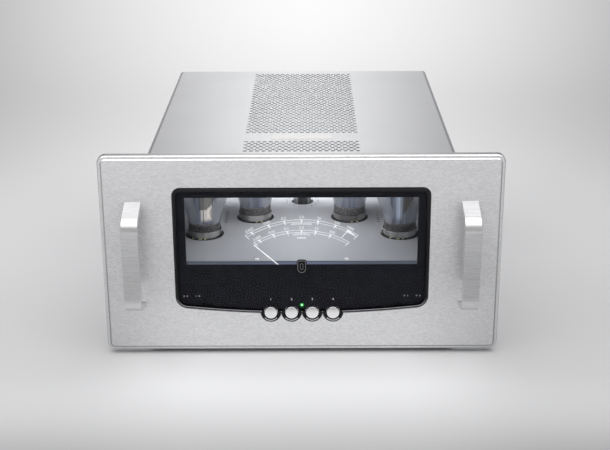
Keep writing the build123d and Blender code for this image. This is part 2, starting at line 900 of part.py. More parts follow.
def make_rear_panel():
    """Rear sheet with its lip under the cover and a hole for each connector and fan."""
    panel = block(-case_half, case_half, rear_inner, rear_face, case_low, cover_low)
    lip_half = case_inner - 3 * sheet
    rear_lip_low = cover_low - rear_lip_overlap
    lip_back = rear_face - sheet
    panel = panel + block(-lip_half, lip_half, lip_back - sheet, lip_back, rear_lip_low, lip_top)
    gap = panel_hole_gap
    half = inlet_width / 2 + inlet_wall + gap
    tall = inlet_height / 2 + inlet_wall + gap
    cut = block(inlet_x - half, inlet_x + half, rear_inner, rear_face, connector_z - tall, connector_z + tall)
    panel = panel - cut
    panel = panel - rod("+y", fuse_x, rear_inner, connector_z, fuse_radius + gap, rear_sheet)
    panel = panel - rod("+y", rca_x, rear_inner, connector_z, rca_radius + gap, rear_sheet)
    panel = panel - rod("+y", xlr_x, rear_inner, connector_z, xlr_radius + gap, rear_sheet)
    for x in trigger_x:
        panel = panel - rod("+y", x, rear_inner, connector_z, trigger_neck_radius + gap, rear_sheet)
    post_hole = post_stud_radius + post_collar + gap
    for x in post_xs:
        panel = panel - rod("+y", x, rear_inner, connector_z, post_hole, rear_sheet)
    for x in flange_screw_xs:
        panel = panel - rod("+y", x, rear_inner, flange_screw_z, M3[0] + clear_gap, rear_sheet)
    for x in cover_rear_xs():
        panel = panel - rod("-y", x, rear_face, cover_screw_z, M3[0] + thread_gap, 2 * rear_sheet)
    for side in (-1, 1):
        x = side * fan_offset
        panel = panel - rod("+y", x, rear_inner, fan_z, fan_bore, rear_sheet)
        for sx, sz in fan_corner_offsets():
            panel = panel - rod("+y", x + sx, rear_inner, fan_z + sz, M4[0] + clear_gap, rear_sheet)
    for dx, dz in xlr_screw_offsets():
        panel = panel - rod("+y", xlr_x + dx, rear_inner, connector_z + dz, M3[0] + clear_gap, rear_sheet)
    for dx in inlet_screw_offsets():
        panel = panel - rod("+y", inlet_x + dx, rear_inner, connector_z, M3[0] + clear_gap, rear_sheet)
    return panel


def cover_rear_xs():
    """Screws through the back of the cover."""
    return spread(-0.7 * case_half, 0.7 * case_half, 3)


def fan_corner_offsets():
    """The four screw corners of a fan."""
    half = fan_screw_spacing / 2
    return [(sx * half, sz * half) for sx in (-1, 1) for sz in (-1, 1)]


def xlr_screw_offsets():
    """Two screws on the diagonal of the balanced input's flange."""
    dx, dz = xlr_screw_offset
    return [(-dx, dz), (dx, -dz)]


def inlet_screw_offsets():
    """Two screws at the sides of the mains inlet."""
    return (-inlet_screw_offset, inlet_screw_offset)


def perforation():
    """Centres of the staggered holes in the cover, in X and Y."""
    centres = []
    for rows, middle in ((front_rows, front_block_centre), (rear_rows, rear_block_centre)):
        for row in range(rows):
            count = holes_per_row - row % 2
            y = face_y + middle + (row - (rows - 1) / 2) * row_pitch
            centres += [((i - (count - 1) / 2) * hole_pitch, y) for i in range(count)]
    return centres


def make_top_cover():
    """Shallow cover with rounded edges, a skirt on three sides and two perforated blocks."""
    tall = cover_skirt + cover_round
    outer = block(-case_half, case_half, panel_back, rear_face, cover_top - tall, cover_top)
    corners = outer.edges().filter_by(Axis.Z).sort_by(Axis.Y)[-2:]
    outer = fillet(corners, cover_round)
    rim = [e for e in outer.faces().sort_by(Axis.Z)[-1].edges() if e.center().Y > panel_back + 1]
    outer = fillet(rim, cover_round)
    outer = outer - block(-case_half, case_half, panel_back, rear_face, cover_top - tall, cover_low)
    inner_low = cover_low - 2 * cover_round
    inner = block(-case_inner, case_inner, panel_back, rear_face - sheet, inner_low, cover_inner)
    corners = inner.edges().filter_by(Axis.Z).sort_by(Axis.Y)[-2:]
    inner = fillet(corners, cover_round - sheet)
    rim = [e for e in inner.faces().sort_by(Axis.Z)[-1].edges() if e.center().Y > panel_back + 1]
    inner = fillet(rim, cover_round - sheet)
    cover = outer - inner
    for y in cover_screw_ys():
        cover = cover - rod("+x", -case_half, y, cover_screw_z, M3[0] + clear_gap, case_width)
    for x in cover_rear_xs():
        cover = cover - rod("-y", x, rear_face, cover_screw_z, M3[0] + clear_gap, sheet)
    drills = [rod("+z", x, y, cover_inner, hole_radius, sheet) for x, y in perforation()]
    return cover - drills


def make_label_plate():
    """Raised bare plate on the cover, between the two perforated blocks."""
    middle = Pos(0, face_y + label_centre, cover_top)
    plate = middle * Box(label_width, label_depth, label_thickness, align=UP)
    plate = fillet(plate.edges().filter_by(Axis.Z), 2.0)
    return fillet(plate.faces().sort_by(Axis.Z)[-1].edges(), 0.3)


def make_deck_plate():
    """Inner deck with a hole for each valve, vents around the drivers and two rows of slots."""
    deck = block(-case_inner, case_inner, deck_front, deck_back, deck_under, deck_top)
    for side in (-1, 1):
        x0, x1 = sorted((side * case_inner, side * (case_inner - sheet)))
        deck = deck + block(x0, x1, deck_front, deck_back, deck_top - deck_flange, deck_top)
    for x, setback in valve_places:
        deck = deck - rod("+z", x, face_y + setback, deck_under, valve_hole_radius, sheet)
    for x, setback in driver_places:
        deck = deck - rod("+z", x, face_y + setback, deck_under, driver_hole_radius, sheet)
        for i in range(driver_vents):
            turn = math.radians(360 * (i + 0.5) / driver_vents)
            vent_x = x + driver_vent_ring * math.cos(turn)
            vent_y = face_y + setback + driver_vent_ring * math.sin(turn)
            deck = deck - rod("+z", vent_x, vent_y, deck_under, driver_vent_radius, sheet)
    slot = extrude(SlotOverall(slot_length, slot_width), amount=sheet)
    for side in (-1, 1):
        for i in range(slot_count):
            place = Pos(side * slot_offset, face_y + slot_first + i * slot_pitch, deck_under)
            deck = deck - place * Rot(0, 0, side * slot_slant) * slot
    for y, z in side_screw_places():
        if deck_top - deck_flange < z < deck_top:
            deck = deck - rod("+x", -case_half, y, z, M3[0] + thread_gap, case_width)
    return deck


def foot_places():
    """Centres of the four feet."""
    front = face_y + foot_setback
    back = rear_face - foot_setback
    return [(sx * foot_offset_x, y) for sx in (-1, 1) for y in (front, back)]


def make_feet():
    """Tapered feet with a recess for the screw."""
    feet = []
    for x, y in foot_places():
        foot = Cone(foot_radius - foot_taper, foot_radius, case_low, align=UP)
        foot = chamfer(foot.faces().sort_by(Axis.Z)[0].edges(), 1.0)
        foot = foot - Cylinder(foot_recess_radius, foot_recess_depth, align=UP)
        foot = foot - Cylinder(M5[0] + clear_gap, case_low, align=UP)
        feet.append(Pos(x, y, 0) * foot)
    return feet


def make_base_fasteners():
    """Screws up through the feet with their nuts, and the transformers' screws."""
    pieces = []
    grip = base_top - foot_recess_depth
    for x, y in foot_places():
        pieces.append(screw("+z", x, y, foot_recess_depth, grip + nut_height + 2, M5))
        pieces.append(hex_nut("+z", x, y, base_top, M5, nut_height))
    for x, y in transformer_screw_places():
        pieces.append(screw("+z", x, y, case_low, core_screw_length, M5))
    return pieces


def make_front_screws():
    """Screws from inside that hold the front panel, and from behind it into the handles."""
    pieces = [screw("-y", x, y, z, y - panel_back + panel_screw_grip, M4) for x, z, y in panel_screw_places()]
    seat = panel_back - M4[2] - head_recess
    length = seat - face_y + handle_screw_grip - screw_end_gap
    return pieces + [screw("-y", x, seat, z, length, M4) for x, z in handle_screw_places()]


def make_chassis_screws():
    """All the small screws of the case, the cover, the fans and the valve board."""
    pieces = []
    for y, z in side_screw_places():
        pieces.append(screw("+x", -case_half, y, z, 6.0, M3))
        pieces.append(screw("-x", case_half, y, z, 6.0, M3))
    for y in cover_screw_ys():
        pieces.append(screw("+x", -case_half, y, cover_screw_z, 6.0, M3))
        pieces.append(screw("-x", case_half, y, cover_screw_z, 6.0, M3))
    for x in cover_rear_xs():
        pieces.append(screw("-y", x, rear_face, cover_screw_z, 6.0, M3))
    for x in flange_screw_xs:
        pieces.append(screw("-y", x, rear_face, flange_screw_z, 6.0, M3))
    for side in (-1, 1):
        for sx, sz in fan_corner_offsets():
            x = side * fan_offset + sx
            pieces.append(screw("-y", x, rear_face + guard_thickness, fan_z + sz, 12.0, M4))
    for x, y in spacer_places():
        pieces.append(screw("+z", x, y, board_low, 8.0, M3))
    for dx, dz in xlr_screw_offsets():
        pieces.append(screw("-y", xlr_x + dx, rear_face + sheet, connector_z + dz, 8.0, M3))
    for dx in inlet_screw_offsets():
        pieces.append(screw("-y", inlet_x + dx, rear_face + inlet_flange, connector_z, 9.0, M3))
    return pieces


def spacer_places():
    """Pillars between the deck and the valve board."""
    side = valve_board_half_width - pillar_margin
    front = valve_board_front + pillar_margin
    back = valve_board_back - pillar_margin
    near_driver = valve_x * 0.4
    front_row = [(x, front) for x in (-side, 0.0, side)]
    return front_row + [(x, back) for x in (-side, -near_driver, near_driver, side)]


def make_valve_board():
    """Circuit board under the deck that carries the valve sockets."""
    half = valve_board_half_width
    board = block(-half, half, valve_board_front, valve_board_back, board_low, board_top)
    for x, y in spacer_places():
        board = board - rod("+z", x, y, board_low, M3[0] + clear_gap, board_thickness)
    return board


def make_board_spacers():
    """Tapped hexagonal pillars that hang the valve board from the deck."""
    pieces = []
    for x, y in spacer_places():
        pillar = extrude(RegularPolygon(spacer_size, 6), amount=valve_board_gap)
        pillar = pillar - Cylinder(M3[0] + thread_gap, spacer_thread, align=UP)
        pieces.append(Pos(x, y, board_top) * pillar)
    return pieces


def ring_pins(count, ring, radius, length, direction):
    """Pins on a circle, from the origin along a direction."""
    pins = []
    for i in range(count):
        turn = math.radians(360 * (i + 0.5) / count)
        pins.append(rod(direction, ring * math.cos(turn), ring * math.sin(turn), 0, radius, length))
    return pins


def make_tube_sockets():
    """Octal sockets for the power valves and noval sockets for the drivers."""
    pieces = []
    octal = Cylinder(socket_radius, socket_height, align=DOWN)
    octal = octal - rod("-z", 0, 0, 0, spigot_radius + pin_gap, socket_height)
    octal_depth = octal_pin_length + pin_end_room
    octal = octal - ring_pins(octal_pins, octal_ring, octal_pin_radius + pin_gap, octal_depth, "-z")
    noval = Cylinder(driver_socket_radius, driver_socket_height, align=DOWN)
    noval_depth = noval_pin_length + pin_end_room
    noval = noval - ring_pins(noval_pins, noval_ring, noval_pin_radius + pin_gap, noval_depth, "-z")
    for x, setback in valve_places:
        pieces.append(Pos(x, face_y + setback, socket_top) * octal)
    for x, setback in driver_places:
        pieces.append(Pos(x, face_y + setback, board_top + driver_socket_height) * noval)
    return pieces


def make_power_tube_bases():
    """Valve bases: metal collar, spigot and eight pins."""
    base = Cylinder(collar_radius, collar_top - socket_top, align=UP)
    base = fillet(base.faces().sort_by(Axis.Z)[-1].edges(), 0.5)
    well = Cylinder(collar_radius - collar_wall, collar_top - glass_low, align=UP)
    base = base - Pos(0, 0, glass_low - socket_top) * well
    base = base + rod("-z", 0, 0, 0, spigot_radius, octal_pin_length + 1)
    base = base + ring_pins(octal_pins, octal_ring, octal_pin_radius, octal_pin_length, "-z")
    return [Pos(x, face_y + setback, socket_top) * base for x, setback in valve_places]


def bulb_profile(inset):
    """Half section of the power valve's bulb, smaller by inset."""
    neck = collar_radius - collar_wall - fit_gap - inset
    low = glass_low + inset
    flare = collar_top + bulb_neck
    widest = bulb_top - bulb_dome * (bulb_top - collar_top)
    radius = bulb_radius - inset
    top = bulb_top - inset
    side = Spline((neck, flare), (radius, widest), tangents=((0, 1), (0, 1)), tangent_scalars=(1.1, 1.6))
    dome = Spline((radius, widest), (0, top), tangents=((0, 1), (-1, 0)), tangent_scalars=(1.0, 1.25))
    foot = Line((0, low), (neck, low)) + Line((neck, low), (neck, flare))
    return make_face(foot + side + dome + Line((0, top), (0, low)))


def make_power_tube_glass():
    """Hollow glass bulbs that widen upwards from the base."""
    wall = bulb_profile(0) - bulb_profile(bulb_wall)
    bulb = revolve(Plane.XZ * wall, Axis.Z, 360)
    return [Pos(x, face_y + setback, 0) * bulb for x, setback in valve_places]


def make_tube_plates():
    """Electrode stacks: glass stem, mica discs and the folded anode plate."""
    stem_seat = glass_low + bulb_wall
    anode_low = stem_seat + stem_height + mica_thickness
    anode_high = anode_low + anode_height
    stack = Pos(0, 0, stem_seat) * Cylinder(glass_stem_radius, stem_height, align=UP)
    stack = stack + Pos(0, 0, anode_low) * Cylinder(low_mica_radius, mica_thickness, align=DOWN)
    anode = Box(anode_width, anode_depth, anode_height, align=UP)
    anode = fillet(anode.edges().filter_by(Axis.Z), anode_corner)
    anode = anode + Box(anode_fin_width, anode_fin_depth, anode_height, align=UP)
    stack = stack + Pos(0, 0, anode_low) * anode
    stack = stack + Pos(0, 0, anode_high) * Cylinder(top_mica_radius, mica_thickness, align=UP)
    getter = Cylinder(getter_stem_radius, getter_height, align=UP)
    stack = stack + Pos(0, 0, anode_high + mica_thickness) * getter
    drivers = Cylinder(driver_anode_radius, driver_anode_height, align=UP)
    driver_mica = Cylinder(driver_mica_radius, mica_thickness, align=UP)
    drivers = drivers + Pos(0, 0, driver_anode_height) * driver_mica
    pieces = [Pos(x, face_y + setback, 0) * stack for x, setback in valve_places]
    lift = board_top + driver_socket_height + bulb_wall
    return pieces + [Pos(x, face_y + setback, lift) * drivers for x, setback in driver_places]


def make_driver_tube_glass():
    """Small hollow driver valves with their pins."""
    outer = Cylinder(driver_radius, driver_height, align=UP)
    outer = fillet(outer.faces().sort_by(Axis.Z)[-1].edges(), driver_round)
    inner_radius = driver_radius - bulb_wall
    inner = Pos(0, 0, bulb_wall) * Cylinder(inner_radius, driver_height - 2 * bulb_wall, align=UP)
    inner = fillet(inner.faces().sort_by(Axis.Z)[-1].edges(), driver_round - 1.0)
    pins = ring_pins(noval_pins, noval_ring, noval_pin_radius, noval_pin_length, "-z")
    tip = Pos(0, 0, driver_height - driver_tip_sink) * Cone(*driver_tip, align=UP)
    valve = outer - inner + pins + tip
    seat = board_top + driver_socket_height
    return [Pos(x, face_y + setback, seat) * valve for x, setback in driver_places]


def make_supply_board():
    """Board for the reservoir capacitors, on pillars from the bottom tray."""
    half = supply_half_width
    board = block(-half, half, supply_front, supply_back, supply_low, supply_top)
    inset = supply_pillar_inset
    for x in (-half + inset, half - inset):
        for y in (supply_front + inset, supply_back - inset):
            board = board + rod("+z", x, y, base_top, board_pillar_radius, supply_board_lift)
    return board


def make_filter_capacitors():
    """Tall reservoir capacitors in two rows."""
    can = Cylinder(can_radius, can_height, align=UP)
    can = fillet(can.faces().sort_by(Axis.Z)[-1].edges(), can_round)
    well = Cylinder(can_radius - can_rim, can_well, align=UP) - Cylinder(can_boss_radius, can_well, align=UP)
    can = can - Pos(0, 0, can_height - can_well) * well
    places = []
    for column in range(can_columns):
        for row in range(can_rows):
            x = (column - (can_columns - 1) / 2) * can_pitch_x
            places.append((x, can_first_y + row * can_pitch_y))
    return [Pos(x, y, supply_top) * can for x, y in places]


def transformer_screw_places():
    """Screws up through the tray into the transformer cores."""
    half = core_width / 2 - core_yoke / 2
    xs = [side * transformer_offset + sx * half for side in (-1, 1) for sx in (-1, 1)]
    return [(x, transformer_y + sy * core_stack / 3) for x in xs for sy in (-1, 1)]


def make_transformer_core(side):
    """Laminated core with a centre leg and two winding windows."""
    x = side * transformer_offset
    half = core_width / 2
    y0 = transformer_y - core_stack / 2
    y1 = transformer_y + core_stack / 2
    core = block(x - half, x + half, y0, y1, base_top, base_top + core_height)
    for s in (-1, 1):
        x0, x1 = sorted((x + s * core_leg / 2, x + s * (half - core_yoke)))
        core = core - block(x0, x1, y0, y1, base_top + core_yoke, base_top + core_height - core_yoke)
    for sx, sy in transformer_screw_places():
        if sx * side > 0:
            core = core - rod("+z", sx, sy, base_top, M5[0] + thread_gap, core_screw_length)
    return core


def make_transformer_windings(side):
    """Winding wrapped around the centre leg."""
    x = side * transformer_offset
    gap = winding_gap
    half_x = core_leg / 2 + winding_build
    half_y = core_stack / 2 + winding_build
    z0 = base_top + core_yoke + gap
    z1 = base_top + core_height - core_yoke - gap
    coil = block(x - half_x, x + half_x, transformer_y - half_y, transformer_y + half_y, z0, z1)
    coil = fillet(coil.edges().filter_by(Axis.Z), winding_corner)
    leg_x = core_leg / 2 + gap
    leg_y = core_stack / 2 + gap
    return coil - block(x - leg_x, x + leg_x, transformer_y - leg_y, transformer_y + leg_y, z0, z1)


def make_fan_frames():
    """Square fan frames with a hub held on four struts and its pin."""
    pieces = []
    for side in (-1, 1):
        x = side * fan_offset
        half = fan_side / 2
        frame = block(x - half, x + half, fan_front, rear_inner, fan_z - half, fan_z + half)
        frame = fillet(frame.edges().filter_by(Axis.Y), fan_corner)
        frame = frame - rod("+y", x, fan_front, fan_z, fan_bore, fan_depth)
        cross = Rectangle(2 * fan_bore + 2, fan_strut_width) + Rectangle(fan_strut_width, 2 * fan_bore + 2)
        frame = frame + slab(Pos(x, fan_z) * cross, fan_front, fan_front + fan_strut)
        frame = frame + rod("+y", x, fan_front, fan_z, fan_hub + fan_hub_lip, fan_strut)
        frame = frame + rod("+y", x, fan_front, fan_z, fan_pin, fan_depth - fan_rotor_back)
        for sx, sz in fan_corner_offsets():
            frame = frame - rod("-y", x + sx, rear_inner, fan_z + sz, M4[0] + thread_gap, fan_screw_depth)
        pieces.append(frame)
    return pieces


def make_fan_rotor(side):
    """Hub with pitched blades, bored for the pin."""
    front = fan_front + fan_strut + fan_rotor_gap
    length = fan_depth - fan_strut - fan_rotor_gap - fan_rotor_back
    hub = rod("+y", 0, 0, 0, fan_hub, length)
    tip = fan_bore - fan_tip_gap
    for i in range(fan_blades):
        blade = Box(fan_blade_thickness, fan_blade_chord, tip - fan_hub + fan_blade_root, align=UP)
        blade = Pos(0, length / 2, fan_hub - fan_blade_root) * Rot(0, 0, fan_blade_pitch) * blade
        hub = hub + Rot(0, 360 * i / fan_blades, 0) * blade
    hub = hub & rod("+y", 0, 0, 0, tip, length)
    hub = hub - rod("+y", 0, 0, 0, fan_pin + running_gap, length)
    return Pos(side * fan_offset, front, fan_z) * hub


def make_fan_guards():
    """Punched finger guards outside the rear panel."""
    pieces = []
    for side in (-1, 1):
        shape = Circle(guard_rings[0]) - Circle(guard_rings[0] - guard_wire)
        for ring in guard_rings[1:]:
            shape = shape + (Circle(ring) - Circle(ring - guard_wire))
        reach = fan_screw_spacing * math.sqrt(2)
        for turn in (45, -45):
            shape = shape + Rot(0, 0, turn) * Rectangle(reach, guard_wire * 1.6)
        for sx, sz in fan_corner_offsets():
            shape = shape + Pos(sx, sz) * Circle(M4[1] + 1)
        for sx, sz in fan_corner_offsets():
            shape = shape - Pos(sx, sz) * Circle(M4[0] + clear_gap)
        place = Pos(side * fan_offset, fan_z)
        pieces.append(slab(place * shape, rear_face, rear_face + guard_thickness))
    return pieces


def make_mains_inlet():
    """Mains inlet: flange, hollow body and three blades."""
    half = inlet_flange_width / 2
    x = inlet_x
    z = connector_z
    flange_half = inlet_height / 2 + inlet_corner
    body = block(x - half, x + half, rear_face, rear_face + inlet_flange, z - flange_half, z + flange_half)
    body = fillet(body.edges().filter_by(Axis.Y), inlet_corner)
    wide = inlet_width / 2
    tall = inlet_height / 2
    back = rear_face + inlet_flange - inlet_depth
    shell_wide = wide + inlet_wall
    shell_tall = tall + inlet_wall
    shell_back = back - inlet_back
    shell = block(x - shell_wide, x + shell_wide, shell_back, rear_face, z - shell_tall, z + shell_tall)
    cavity = block(x - wide, x + wide, back, rear_face + inlet_flange, z - tall, z + tall)
    body = body + shell - chamfer(cavity.edges().filter_by(Axis.Y).sort_by(Axis.Z)[-2:], inlet_corner)
    blade_width, blade_height = inlet_blade
    for dx, dz in inlet_blade_offsets:
        blade = Box(blade_width, inlet_blade_tail + inlet_blade_length, blade_height)
        body = body + Pos(x + dx, back + (inlet_blade_length - inlet_blade_tail) / 2, z + dz) * blade
    for dx in inlet_screw_offsets():
        body = body - rod("+y", x + dx, rear_face, z, M3[0] + clear_gap, inlet_flange)
    return body


def make_fuse_holder():
    """Round fuse holder with a bore for its cap."""
    rim, rim_height = fuse_rim
    bore = fuse_stem_radius + fuse_stem_gap
    body = rod("-y", fuse_x, rear_face, connector_z, fuse_radius, fuse_body_length)
    body = body + rod("+y", fuse_x, rear_face, connector_z, fuse_radius + rim, rim_height)
    return body - rod("-y", fuse_x, rear_face + rim_height, connector_z, bore, fuse_bore_depth)


def make_fuse_cap():
    """Knurled cap with a coin slot and a stem that turns in the holder."""
    front = rear_face + fuse_rim[1]
    cap = rod("+y", fuse_x, front, connector_z, fuse_cap_radius, fuse_cap_length)
    cap = fillet(cap.faces().sort_by(Axis.Y)[-1].edges(), 0.8)
    ring = fuse_cap_radius + fuse_knurl_radius / 3
    for i in range(fuse_knurls):
        turn = math.radians(360 * i / fuse_knurls)
        x = fuse_x + ring * math.cos(turn)
        z = connector_z + ring * math.sin(turn)
        cap = cap - rod("+y", x, front + 1, z, fuse_knurl_radius, fuse_cap_length - 1)
    wide, deep, high = fuse_coin_slot
    cap = cap - Pos(fuse_x, front + fuse_cap_length - deep / 2, connector_z) * Box(wide, deep, high)
    return cap + rod("-y", fuse_x, front, connector_z, fuse_stem_radius, fuse_stem_length)


def make_trigger_jacks():
    """Two small jacks with their panel nuts."""
    pieces = []
    for x in trigger_x:
        body = Pos(x, rear_inner - trigger_body[1] / 2, connector_z) * Box(*trigger_body)
        body = body + rod("+y", x, rear_inner, connector_z, trigger_neck_radius, rear_sheet + trigger_neck)
        nut = extrude(RegularPolygon(trigger_nut[0], 6), amount=trigger_nut[1])
        body = body + aim("+y", x, rear_face, connector_z) * nut
        body = body - rod("-y", x, rear_face + trigger_neck, connector_z, trigger_bore, trigger_depth)
        pieces.append(body)
    return pieces


def make_rca_input():
    """Phono socket: insulated sleeve with a centre contact hole."""
    collar, collar_height = rca_collar
    end = rear_face + collar_height + rca_length
    body = rod("-y", rca_x, end, connector_z, rca_radius, end - rear_inner + rca_tail)
    body = body + rod("+y", rca_x, rear_face, connector_z, collar, collar_height)
    nut = extrude(RegularPolygon(rca_nut[0], 6), amount=rca_nut[1])
    body = body + aim("-y", rca_x, rear_inner, connector_z) * nut
    return body - rod("-y", rca_x, end, connector_z, *rca_contact)


def make_xlr_input():
    """Balanced input: square flange, round body and three contact holes."""
    middle = Pos(xlr_x, connector_z)
    plate = slab(middle * RectangleRounded(xlr_width, xlr_height, xlr_corner), rear_face, rear_face + sheet)
    body = plate + rod("-y", xlr_x, rear_face, connector_z, xlr_radius, xlr_depth)
    body = body - tube("-y", xlr_x, rear_face + sheet, connector_z, *xlr_groove)
    ring, contact, depth = xlr_contacts
    for i in range(3):
        turn = math.radians(-90 + 120 * i)
        x = xlr_x + ring * math.cos(turn)
        z = connector_z + ring * math.sin(turn)
        body = body - rod("-y", x, rear_face + sheet, z, contact, depth)
    for dx, dz in xlr_screw_offsets():
        body = body - rod("+y", xlr_x + dx, rear_face, connector_z + dz, M3[0] + clear_gap, sheet)
    return body


def make_binding_posts():
    """Threaded output posts on insulating bases, each with a plug bore."""
    pieces = []
    for x in post_xs:
        post = rod("+y", x, rear_face, connector_z, post_base_radius, post_base)
        lock_nut = extrude(RegularPolygon(post_lock_nut[0], 6), amount=post_lock_nut[1])
        stud_length = connector_end - rear_inner + post_tail
        neck = post_stud_radius + post_collar
        post = post + rod("-y", x, rear_face, connector_z, neck, rear_sheet + post_lock_nut[1])
        post = post + rod("-y", x, connector_end, connector_z, post_stud_radius, stud_length)
        post = post + aim("-y", x, rear_inner, connector_z) * lock_nut
        post = post - rod("-y", x, connector_end, connector_z, post_bore, post_bore_depth)
        pieces.append(post)
    return pieces


def make_post_nut(x):
    """Fluted clamping nut that turns on its post."""
    end = connector_end - post_nut_setback
    nut = rod("-y", x, end, connector_z, post_nut_radius, post_nut_length)
    nut = chamfer(nut.edges().filter_by(GeomType.CIRCLE), post_nut_chamfer)
    ring = post_nut_radius + post_flute_radius / 2
    for i in range(post_nut_flats):
        turn = math.radians(360 * i / post_nut_flats)
        flute_x = x + ring * math.cos(turn)
        flute_z = connector_z + ring * math.sin(turn)
        nut = nut - rod("-y", flute_x, end, flute_z, post_flute_radius, post_nut_length)
    return nut - rod("-y", x, end, connector_z, post_stud_radius + running_gap, post_nut_length)


NODES = {
    "front_panel": make_front_panel,
    "front_subpanel": make_front_subpanel,
    "handle_left": lambda: make_handle(-1),
    "handle_right": lambda: make_handle(1),
    "front_screws": make_front_screws,
    "window_bezel": make_window_bezel,
    "display_glass": make_display_glass,
    "display_mask": make_display_mask,
    "pivot_badge": make_pivot_badge,
    "meter_scale_plate": make_meter_scale_plate,
    "meter_movement": make_meter_movement,
    "meter_needle": make_meter_needle,
    "scale_lamps": make_scale_lamps,
    "status_led": make_status_led,
    "monitor_leds": make_monitor_leds,
    "button_power": lambda: make_button(button_xs[0]),
    "button_light": lambda: make_button(button_xs[1]),
    "button_monitor": lambda: make_button(button_xs[2]),
    "button_mode": lambda: make_button(button_xs[3]),
    "button_switches": make_button_switches,
    "control_board": make_control_board,
    "base_plate": make_base_plate,
    "side_panel_left": lambda: make_side_panel(-1),
    "side_panel_right": lambda: make_side_panel(1),
    "rear_panel": make_rear_panel,
    "deck_plate": make_deck_plate,
    "top_cover": make_top_cover,
    "label_plate": make_label_plate,
    "feet": make_feet,
    "base_fasteners": make_base_fasteners,
    "chassis_screws": make_chassis_screws,
    "valve_board": make_valve_board,
    "board_spacers": make_board_spacers,
    "tube_sockets": make_tube_sockets,
    "power_tube_bases": make_power_tube_bases,
    "power_tube_glass": make_power_tube_glass,
    "tube_plates": make_tube_plates,
    "driver_tube_glass": make_driver_tube_glass,
    "supply_board": make_supply_board,
    "filter_capacitors": make_filter_capacitors,
    "power_transformer_core": lambda: make_transformer_core(-1),
    "power_transformer_windings": lambda: make_transformer_windings(-1),
    "output_transformer_core": lambda: make_transformer_core(1),
    "output_transformer_windings": lambda: make_transformer_windings(1),
    "fan_frames": make_fan_frames,
    "fan_rotor_left": lambda: make_fan_rotor(-1),
    "fan_rotor_right": lambda: make_fan_rotor(1),
    "fan_guards": make_fan_guards,
    "mains_inlet": make_mains_inlet,
    "fuse_holder": make_fuse_holder,
    "fuse_cap": make_fuse_cap,
    "trigger_jacks": make_trigger_jacks,
    "rca_input": make_rca_input,
    "xlr_input": make_xlr_input,
    "binding_posts": make_binding_posts,
}
NODES.update({f"post_nut_{i + 1}": (lambda x=x: make_post_nut(x)) for i, x in enumerate(post_xs)})


def main():
    """Build every sub-part and write it to its own file."""
    os.makedirs("parts", exist_ok=True)
    for name, make in NODES.items():
        shape = make()
        pieces = shape if isinstance(shape, list) else [shape]
        solids = [solid for piece in pieces for solid in piece.solids()]
        export_step(Compound(children=solids) if len(solids) > 1 else solids[0], f"parts/{name}.step")
        print(name, len(solids))


main()
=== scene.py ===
"""Looks of a mono valve power amplifier, built around its packed construction model.

The file is laid out as an add-on: settings, one operator for each group of pieces, one for
the finishes, one for the stage, and a sidebar panel. Sizes are in metres, in the model's frame:
+X to the right seen from the front, +Y to the back, +Z up, the origin on the surface below.
"""

import json
import math

import bmesh
import bpy
from bpy.props import FloatProperty, FloatVectorProperty, IntProperty, PointerProperty
from mathutils import Matrix, Vector


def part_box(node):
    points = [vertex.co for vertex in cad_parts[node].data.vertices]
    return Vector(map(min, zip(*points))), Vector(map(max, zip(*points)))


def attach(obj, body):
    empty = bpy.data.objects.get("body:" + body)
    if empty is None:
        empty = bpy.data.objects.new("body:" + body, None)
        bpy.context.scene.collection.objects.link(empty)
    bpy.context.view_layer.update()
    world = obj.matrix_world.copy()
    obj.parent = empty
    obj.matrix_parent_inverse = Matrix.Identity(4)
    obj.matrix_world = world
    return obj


bl_info = {
    "name": "Valve power amplifier",
    "version": (1, 0, 0),
    "blender": (4, 5, 0),
    "location": "3D View > Sidebar > Amplifier",
    "description": "Finishes, meter scale, valve details and stage for the amplifier's construction model",
    "category": "Object",
}

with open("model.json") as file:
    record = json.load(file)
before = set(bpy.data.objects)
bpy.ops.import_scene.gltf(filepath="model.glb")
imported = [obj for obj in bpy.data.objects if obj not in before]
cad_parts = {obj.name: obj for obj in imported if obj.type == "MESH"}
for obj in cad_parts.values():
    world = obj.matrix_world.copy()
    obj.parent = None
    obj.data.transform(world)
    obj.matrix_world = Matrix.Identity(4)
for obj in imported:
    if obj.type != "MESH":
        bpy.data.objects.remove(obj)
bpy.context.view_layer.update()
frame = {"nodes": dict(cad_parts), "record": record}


def front_centre(node, y=None):
    """The middle of a node's front, or the point in front of it at another depth."""
    low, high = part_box(node)
    return Vector(((low.x + high.x) / 2, low.y if y is None else y, (low.z + high.z) / 2))


BUTTONS = ("button_power", "button_light", "button_monitor", "button_mode")

# Planes and lines of the front that the new pieces stand on
PIVOT_Z = front_centre("meter_movement").z
SCALE_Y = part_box("meter_scale_plate")[0].y - 0.0001
WINDOW_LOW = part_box("meter_scale_plate")[0].z + 0.0044
MASK_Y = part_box("display_mask")[0].y
BEZEL_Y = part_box("window_bezel")[0].y
DECK_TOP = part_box("deck_plate")[1].z
PANEL_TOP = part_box("front_panel")[1].z

# Marks on the meter scale: the numeral, and how far it stands to the right of the pivot
OVERLOAD_X = 0.0513
OUTER_MARKS = (("0.002", -0.0552), ("0.02", -0.0365), ("0.2", -0.0189), ("2.0", 0.0), ("20", 0.0185),
               ("200", 0.0377), ("1000", OVERLOAD_X))
INNER_MARKS = (("0.005", -0.0470), ("0.05", -0.0312), ("0.5", -0.0157), ("5.0", 0.0), ("50", 0.0157),
               ("500", 0.0322))

